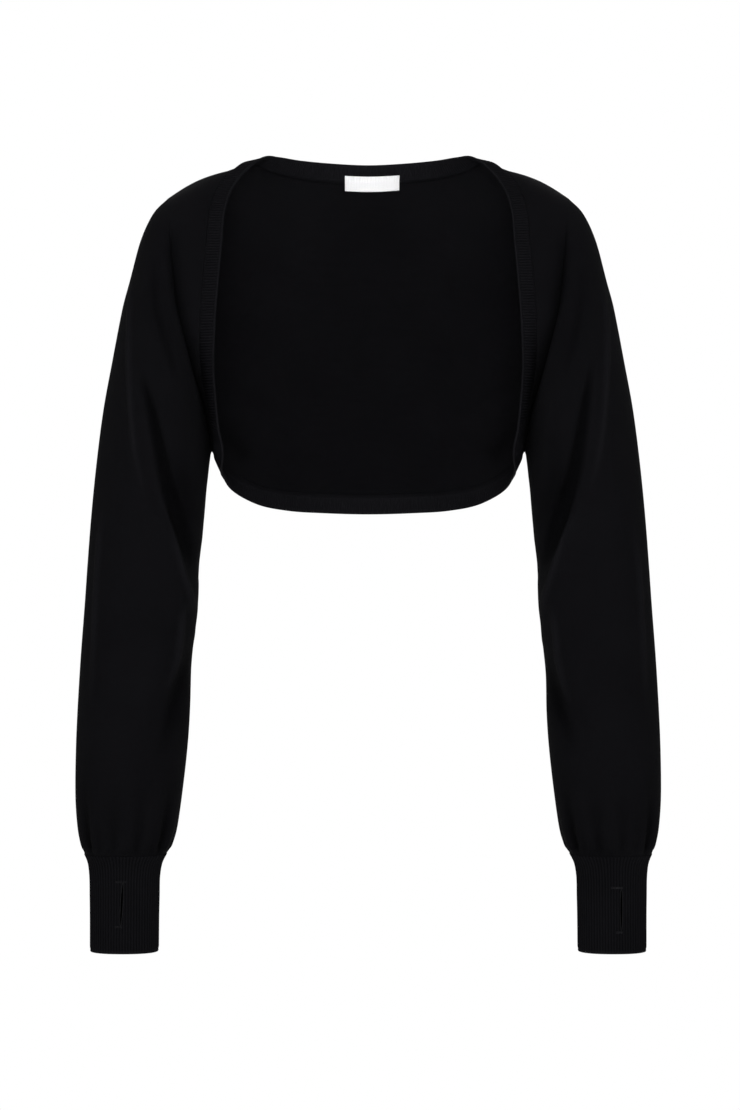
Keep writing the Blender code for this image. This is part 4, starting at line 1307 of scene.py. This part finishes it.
def ribbedCuff(topRing, sign):
    table = np.array(cuffSections) * mm
    knots = chordKnots(table)
    turns = np.arange(cuffSize["ribs"] * cuffSize["pointsPerRib"] + 1) / cuffSize["pointsPerRib"]
    start = evenRing(topRing, len(turns) - 1)
    wave = ribWave(turns[:-1] * 2 * np.pi)
    layers, down, relief = [], [], []
    for share, out, ribShare in cuffProfile:
        outerX, innerX, z, frontY, backY = smoothCurve(knots, table, np.array([share * knots[-1]]))[0]
        ring = sectionRing(np.array([outerX, 0, z]), np.array([innerX, 0, z]), frontY, backY,
                           cuffSize["fullness"], steps["samples"])
        ring = evenRing(ring * mirror if sign < 0 else ring, len(start))
        near = max(0.0, 1 - share / cuffSize["meetsSleeve"])
        ring = ring * (1 - near) + (start - [0, 0, cloth["seamGap"]]) * near
        along = np.roll(ring, -1, axis=0) - np.roll(ring, 1, axis=0)
        normal = unit(np.cross(along, [0, 0, 1]))
        if np.sum(normal * (ring - ring.mean(axis=0))) < 0:
            normal = -normal
        lift = out * mm + ribShare * cuffSize["ribHeight"] * (wave if ribShare > 0 else 1 - wave)
        layers.append(ring + normal * lift[:, None])
        down.append(-share * (table[0, 2] - table[-1, 2]))
        # painted shade in the rib grooves and a painted highlight along the free edge
        shade = wave - cuffSize["grooveShade"] if ribShare > 0 else 0 * wave
        if share > cuffSize["edgeFrom"]:
            shade = shade + cuffSize["edgeHighlight"]
        relief.append(shade * cloth["fullRelief"])
    flat = np.stack(np.meshgrid(turns * bandSize["ribPitch"], np.array(down), indexing="xy"), axis=2)
    return np.array(layers), flat, np.array(relief)


slitSize = {
    "width": 1.8 * mm,
    "depth": 34 * mm,
    "frontY": -50.5 * mm,
    "frontFrom": -30 * mm,
    "bead": 0.3 * mm,
    "beadOut": 0.3 * mm,  # how far the bead's line is outside the cut
    "reach": 2.2 * mm,
    "loop": 0.85 * mm,
    "loopSquash": 0.55,
    "yarn": 0.2 * mm,
}
# place across the cuff, top and bottom of the slit, and its lean
slits = {
    "left": (223.5 * mm, -654 * mm, -690 * mm, 0.0),
    "right": (217.5 * mm, -648.7 * mm, -686.7 * mm, 0.055),
}
upright = (math.pi / 2, 0, 0)


def applyPlace():
    bpy.ops.object.transform_apply(location=True, rotation=True, scale=True)


def resized(size):
    # changes the shape of the active piece itself, not its scale
    bpy.ops.object.mode_set(mode="EDIT")
    if bpy.context.object.type == "CURVE":
        bpy.ops.curve.select_all(action="SELECT")
        bpy.ops.curve.handle_type_set(type="ALIGNED")
    else:
        bpy.ops.mesh.select_all(action="SELECT")
    bpy.ops.transform.resize(value=size)
    bpy.ops.object.mode_set(mode="OBJECT")
    return bpy.context.object


def putAtSlit(piece, side, y):
    x, topZ, bottomZ, lean = slits[side]
    piece.location = (signOf[side] * x, y, (topZ + bottomZ) / 2)
    piece.rotation_euler = (0.0, signOf[side] * -lean, 0.0)


def cutSlit(cuff, side):
    # a lens-shaped cutter, narrowed at both ends, taken off the cuff's front wall
    _, topZ, bottomZ, _ = slits[side]
    bpy.ops.mesh.primitive_cylinder_add(vertices=24, radius=0.5, depth=1.0, rotation=upright)
    cutter = bpy.context.object
    applyPlace()
    cutter.scale = (slitSize["width"], slitSize["depth"], topZ - bottomZ)
    putAtSlit(cutter, side, slitSize["frontY"])
    cut = cuff.modifiers.new("thumbSlit", "BOOLEAN")
    cut.operation = "DIFFERENCE"
    cut.solver = "EXACT"
    cut.object = cutter
    bpy.context.view_layer.objects.active = cuff
    bpy.ops.object.modifier_apply(modifier="thumbSlit")
    bpy.data.objects.remove(cutter, do_unlink=True)


def laidOnCuff(piece, layers):
    # the piece lies on the ribs of the cuff's front where its points are, half sunk between them
    points = layers[:len(cuffProfile) // 2].reshape(-1, 3)
    points = points[points[:, 1] < slitSize["frontFrom"]]
    co = readPoints(piece.data)
    near = np.hypot(points[:, 0, None] - co[:, 0], points[:, 2, None] - co[:, 2]) < slitSize["reach"]
    co[:, 1] += np.where(near, points[:, 1:2], 0.0).min(axis=0) + slitSize["yarn"]
    piece.data.vertices.foreach_set("co", co.ravel())
    piece.data.update()


def finishTrim(piece, name, material):
    piece.name = name
    piece.data.name = name
    piece.data.materials.clear()
    piece.data.materials.append(material)
    piece.data.shade_smooth()
    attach(piece, "root")
    return piece


def slitEdge(side, layers):
    # a rolled edge of yarn all round the slit
    _, topZ, bottomZ, _ = slits[side]
    bpy.ops.curve.primitive_bezier_circle_add(radius=1.0, rotation=upright)
    applyPlace()
    beadOut = slitSize["beadOut"]
    ring = resized((slitSize["width"] / 2 + beadOut, 1, (topZ - bottomZ) / 2 + beadOut))
    ring.data.resolution_u = 24
    ring.data.bevel_depth = slitSize["bead"]
    ring.data.bevel_resolution = 2
    bpy.ops.object.convert(target="MESH")
    ring = bpy.context.object
    putAtSlit(ring, side, 0.0)
    applyPlace()
    laidOnCuff(ring, layers)
    return finishTrim(ring, f"thumbEdge{side.title()}", edgeYarn)


def copied(first, places, turns):
    # the modelled piece and its copies, one at each place, joined to one mesh
    copies = [first]
    for _ in places[1:]:
        copy = first.copy()
        copy.data = first.data.copy()
        bpy.context.scene.collection.objects.link(copy)
        copies.append(copy)
    for copy, place, turn in zip(copies, places, turns):
        copy.location = place
        copy.rotation_euler = turn
        copy.select_set(True)
    bpy.context.view_layer.objects.active = first
    bpy.ops.object.join()
    applyPlace()
    bpy.ops.object.select_all(action="DESELECT")
    return first


def barTack(side, tack, layers):
    # loops of yarn side by side across the end of the slit
    fromX, toX, z, pitch = np.array(tack[1:]) * mm
    turn = (0, math.pi / 2, 0)
    bpy.ops.mesh.primitive_torus_add(major_radius=slitSize["loop"], minor_radius=slitSize["yarn"],
                                     major_segments=16, minor_segments=8, rotation=turn)
    loop = resized((1.0, slitSize["loopSquash"], 1.0))
    across = np.arange(fromX, toX, pitch)
    loop = copied(loop, [(signOf[side] * x, 0, z) for x in across], [turn] * len(across))
    laidOnCuff(loop, layers)
    return finishTrim(loop, f"thumbTack{tack[0]}{side.title()}", tackYarn)


# across from and to, height, and pitch of the loops of the tacks at the ends of each slit
tacks = {
    "left": (("Top", 214.4, 224.6, -652.9, 0.5), ("Foot", 219.2, 224.4, -692.2, 0.5)),
    "right": (("Top", 213.6, 223.4, -647.6, 0.85), ("Foot", 217.4, 223.4, -687.4, 0.75)),
}
edgeYarn = threadMaterial("blackEdgeYarn", yarn["edge"])
tackYarn = threadMaterial("blackTackYarn", yarn["tack"])

for side, sign in signOf.items():
    sleeve = f"sleeve{side.title()}"
    topRing = clearSeams(sleeve, grids[sleeve][0], own[sleeve], through[sleeve], True)[-1]
    layers, flat, relief = ribbedCuff(topRing, sign)
    cuff = makeMesh(f"cuff{side.title()}", layers, flat, True, len(layers), (cuffRib,), relief)
    cutSlit(cuff, side)
    standsFor(cuff, f"cuff_{side}")
    bpy.ops.object.select_all(action="DESELECT")
    trims = [slitEdge(side, layers)]
    bpy.ops.object.select_all(action="DESELECT")
    trims += [barTack(side, tack, layers) for tack in tacks[side]]
    print("cuff made:", side, len(cuff.data.polygons), "faces, and", len(trims), "trims")

labelSize = {
    "width": 50 * mm,
    "height": 14.3 * mm,
    "centreX": 3.5 * mm,
    "thickness": 0.7 * mm,
    "lift": 0.25 * mm,
    "pillow": 0.5 * mm,
    "curl": 0.35 * mm,
    "thread": 0.35 * mm,
    "roughness": 0.55,
    "specular": 0.25,
    "bump": 0.12 * mm,
    "bumpStrength": 0.5,
    "low": (0.74, 0.74, 0.745, 1),
    "high": (0.82, 0.82, 0.825, 1),
    "threadColour": (0.8, 0.8, 0.81),
    "bandRows": (14, 19),
    "allowanceRows": 3,
    "fromBandRow": 8.2 * mm,
    "liningRows": (4, 18),
    "liningMargin": 60,
    "neckBox": (60 * mm, 30 * mm, -30 * mm),  # within, behind and above these lies the neck
    "follows": 0.35,  # how far it follows the cloth below it, and not a straight line
    "sewnFrom": 0.86,
    "sewnOver": 0.1,
    "foldFrom": 0.84,
    "foldOver": 0.02,
    "columns": 73,
    "rows": 25,
    "flat": (0.062, 0.0145),
    "stitchColumns": (3, -4),
    "stitchRows": range(2, 24, 3),
    "stitch": (0.28 * mm, 0.2 * mm, 0.6 * mm),
}


def labelMaterial():
    material, tree, shader = newMaterial("whiteWovenLabel")
    place = clothPlace(tree)
    warp, weft = (waveOf(tree, "SINE", place[axis], labelSize["thread"]) for axis in "XY")
    weave = scaled(tree, calc(tree, "MULTIPLY", warp, weft), 0.5, 0.5)
    setSockets(tree, shader, {
        "Base Color": mixedColour(tree, weave, labelSize["low"], labelSize["high"]),
        "Roughness": labelSize["roughness"],
        "Specular IOR Level": labelSize["specular"],
        "Normal": bumpNormal(tree, weave, labelSize["bumpStrength"], labelSize["bump"]),
    })
    return material


def sampleRow(row, x):
    # the place on a line of points at each x
    row = row[np.argsort(row[:, 0])]
    return np.column_stack([x, np.interp(x, row[:, 0], row[:, 1]), np.interp(x, row[:, 0], row[:, 2])])


def atNeck(line):
    within, behind, above = labelSize["neckBox"]
    return line[(np.abs(line[:, 0]) < within) & (line[:, 1] > behind) & (line[:, 2] > above)]


def neckLabel():
    # a ribbon across the back neck seam: on the band above, on the back below, folded under at
    # both ends, where it is sewn down, and a little proud of the cloth between them
    half = labelSize["width"] / 2
    x = labelSize["centreX"] + np.linspace(-half, half, labelSize["columns"])
    bandInside = layersOfBand[slice(*labelSize["bandRows"])]
    allowance = layersOfBand[len(bandProfile):][:labelSize["allowanceRows"]]
    margin = labelSize["liningMargin"]
    backInside = linings["back"][slice(*labelSize["liningRows"]), margin:-margin]
    lines = np.array([sampleRow(line, x) for line in
                      [atNeck(line) for line in (*bandInside, *allowance)] + list(backInside)])
    # points at even steps down each column, from just under the rim
    start = labelSize["fromBandRow"]
    at = np.linspace(start, start + labelSize["height"], labelSize["rows"])
    grid = np.stack([pointsAt(at, chordKnots(run), run) for run in np.swapaxes(lines, 0, 1)], axis=1)
    down = shares(labelSize["rows"] - 1)[:, None]
    straight = grid[:1] * (1 - down[..., None]) + grid[-1:] * down[..., None]
    grid = grid * labelSize["follows"] + straight * (1 - labelSize["follows"])
    normals = unit(gridNormals(grid, False, torsoMiddle(grid)))
    normals = normals if normals[:, :, 1].mean() < 0 else -normals
    across = np.abs(np.linspace(-1.0, 1.0, labelSize["columns"]))[None, :]
    loose = 1 - smoothStep((across - labelSize["sewnFrom"]) / labelSize["sewnOver"])
    raised = labelSize["lift"] + labelSize["pillow"] * loose * np.sin(np.pi * down) ** 0.5
    raised = raised + labelSize["curl"] * loose * (2 * down - 1) ** 4
    folded = smoothStep((across - labelSize["foldFrom"]) / labelSize["foldOver"])
    back = grid + normals * raised[..., None]
    front = grid + normals * (raised + labelSize["thickness"] * (0.5 + 0.5 * folded))[..., None]
    flat = surfaceMap(grid, False, labelSize["columns"] // 2, True)
    return makeMesh("neckLabel", thereAndBack(front, back), thereAndBack(flat, flat), False, 2 * len(grid),
                    (labelMaterial(),)), front


label, labelFront = neckLabel()
standsFor(label, "neck_label")


def labelStitches():
    # short stitches down both ends of the label
    bpy.ops.mesh.primitive_uv_sphere_add(segments=12, ring_count=8, radius=1.0)
    stitch = resized(labelSize["stitch"])
    places, turns = [], []
    for row in labelSize["stitchRows"]:
        for column in labelSize["stitchColumns"]:
            down = labelFront[row + 1, column] - labelFront[row - 1, column]
            places.append(labelFront[row, column])
            turns.append((math.atan2(-down[1], -down[2]), 0.0, 0.0))
    thread = threadMaterial("whiteThread", labelSize["threadColour"])
    return finishTrim(copied(stitch, places, turns), "labelStitches", thread)


labelStitches()
print("label made:", len(label.data.polygons), "faces")

studio = {
    "floorZ": -1.42,
    "floorSize": 60,
    "floorColour": (0.95, 0.95, 0.95, 1),
    "floorRoughness": 0.9,
    "skyLight": 0.34,
    "camera": (0.0016, -2.6, -0.3591),
    "lens": 93.7,
    "sensor": 36,
}

bpy.ops.mesh.primitive_plane_add(size=studio["floorSize"], location=(0, 0, studio["floorZ"]))
floor = bpy.context.object
floor.name = "floor"
# the floor and the sky are plain white where the camera sees them
paper, tree, shader = newMaterial("paleFloor")
setSockets(tree, shader, {"Base Color": studio["floorColour"], "Roughness": studio["floorRoughness"]})
seen = addNode(tree, "MixShader", {0: addNode(tree, "LightPath")["Is Camera Ray"], 1: shader.outputs[0],
                                   2: addNode(tree, "Emission")[0]})
setSockets(tree, tree.nodes["Material Output"], {0: seen[0]})
floor.data.materials.append(paper)

world = bpy.data.worlds.new("studioWhite")
bpy.context.scene.world = world
world.use_nodes = True
tree = world.node_tree
strength = addNode(tree, "MapRange", {"Value": addNode(tree, "LightPath")["Is Camera Ray"],
                                      "To Min": studio["skyLight"], "To Max": 1})["Result"]
setSockets(tree, tree.nodes["Background"], {"Color": (1, 1, 1, 1), "Strength": strength})

# name, place, where it aims, size, power, spread in degrees
softBoxes = (
    ("keyFront", (0, -3.4, 0), (0, 0, -0.35), 1.5, 42.5, 180),
    ("keyLeft", (-2.3, -1.9, 0.5), (0, 0, -0.35), 1.2, 13, 180),
    ("keyRight", (2.3, -1.9, 0.5), (0, 0, -0.35), 1.2, 13, 180),
    ("fillLow", (0, -2, -1.25), (0, 0, -0.05), 1, 8, 180),
    ("fillNeck", (0, -1.6, -1), (0, 0, -0.02), 0.5, 0.2, 24),
    ("topFront", (0, -1.2, 1.5), (0, 0, -0.05), 1, 10, 180),
    ("topBack", (0, 1.2, 1.6), (0, 0, -0.2), 1.4, 20, 180),
)
for name, place, aim, size, power, spread in softBoxes:
    lamp = bpy.data.lights.new(name, "AREA")
    lamp.energy = power
    lamp.size = size
    lamp.spread = math.radians(spread)
    holder = bpy.data.objects.new(name, lamp)
    holder.location = place
    way = np.array(aim) - np.array(place)
    flatWay = math.hypot(way[0], way[1])
    holder.rotation_euler = (math.atan2(flatWay, -way[2]), 0.0, math.atan2(way[1], way[0]) - math.pi / 2)
    bpy.context.scene.collection.objects.link(holder)

lens = bpy.data.cameras.new("studioCamera")
lens.lens = studio["lens"]
lens.sensor_width = studio["sensor"]
camera = bpy.data.objects.new("studioCamera", lens)
camera.location = studio["camera"]
camera.rotation_euler = upright
bpy.context.scene.collection.objects.link(camera)
bpy.context.scene.camera = camera
bpy.context.scene.view_settings.view_transform = "Standard"
print("floor, light and camera placed")
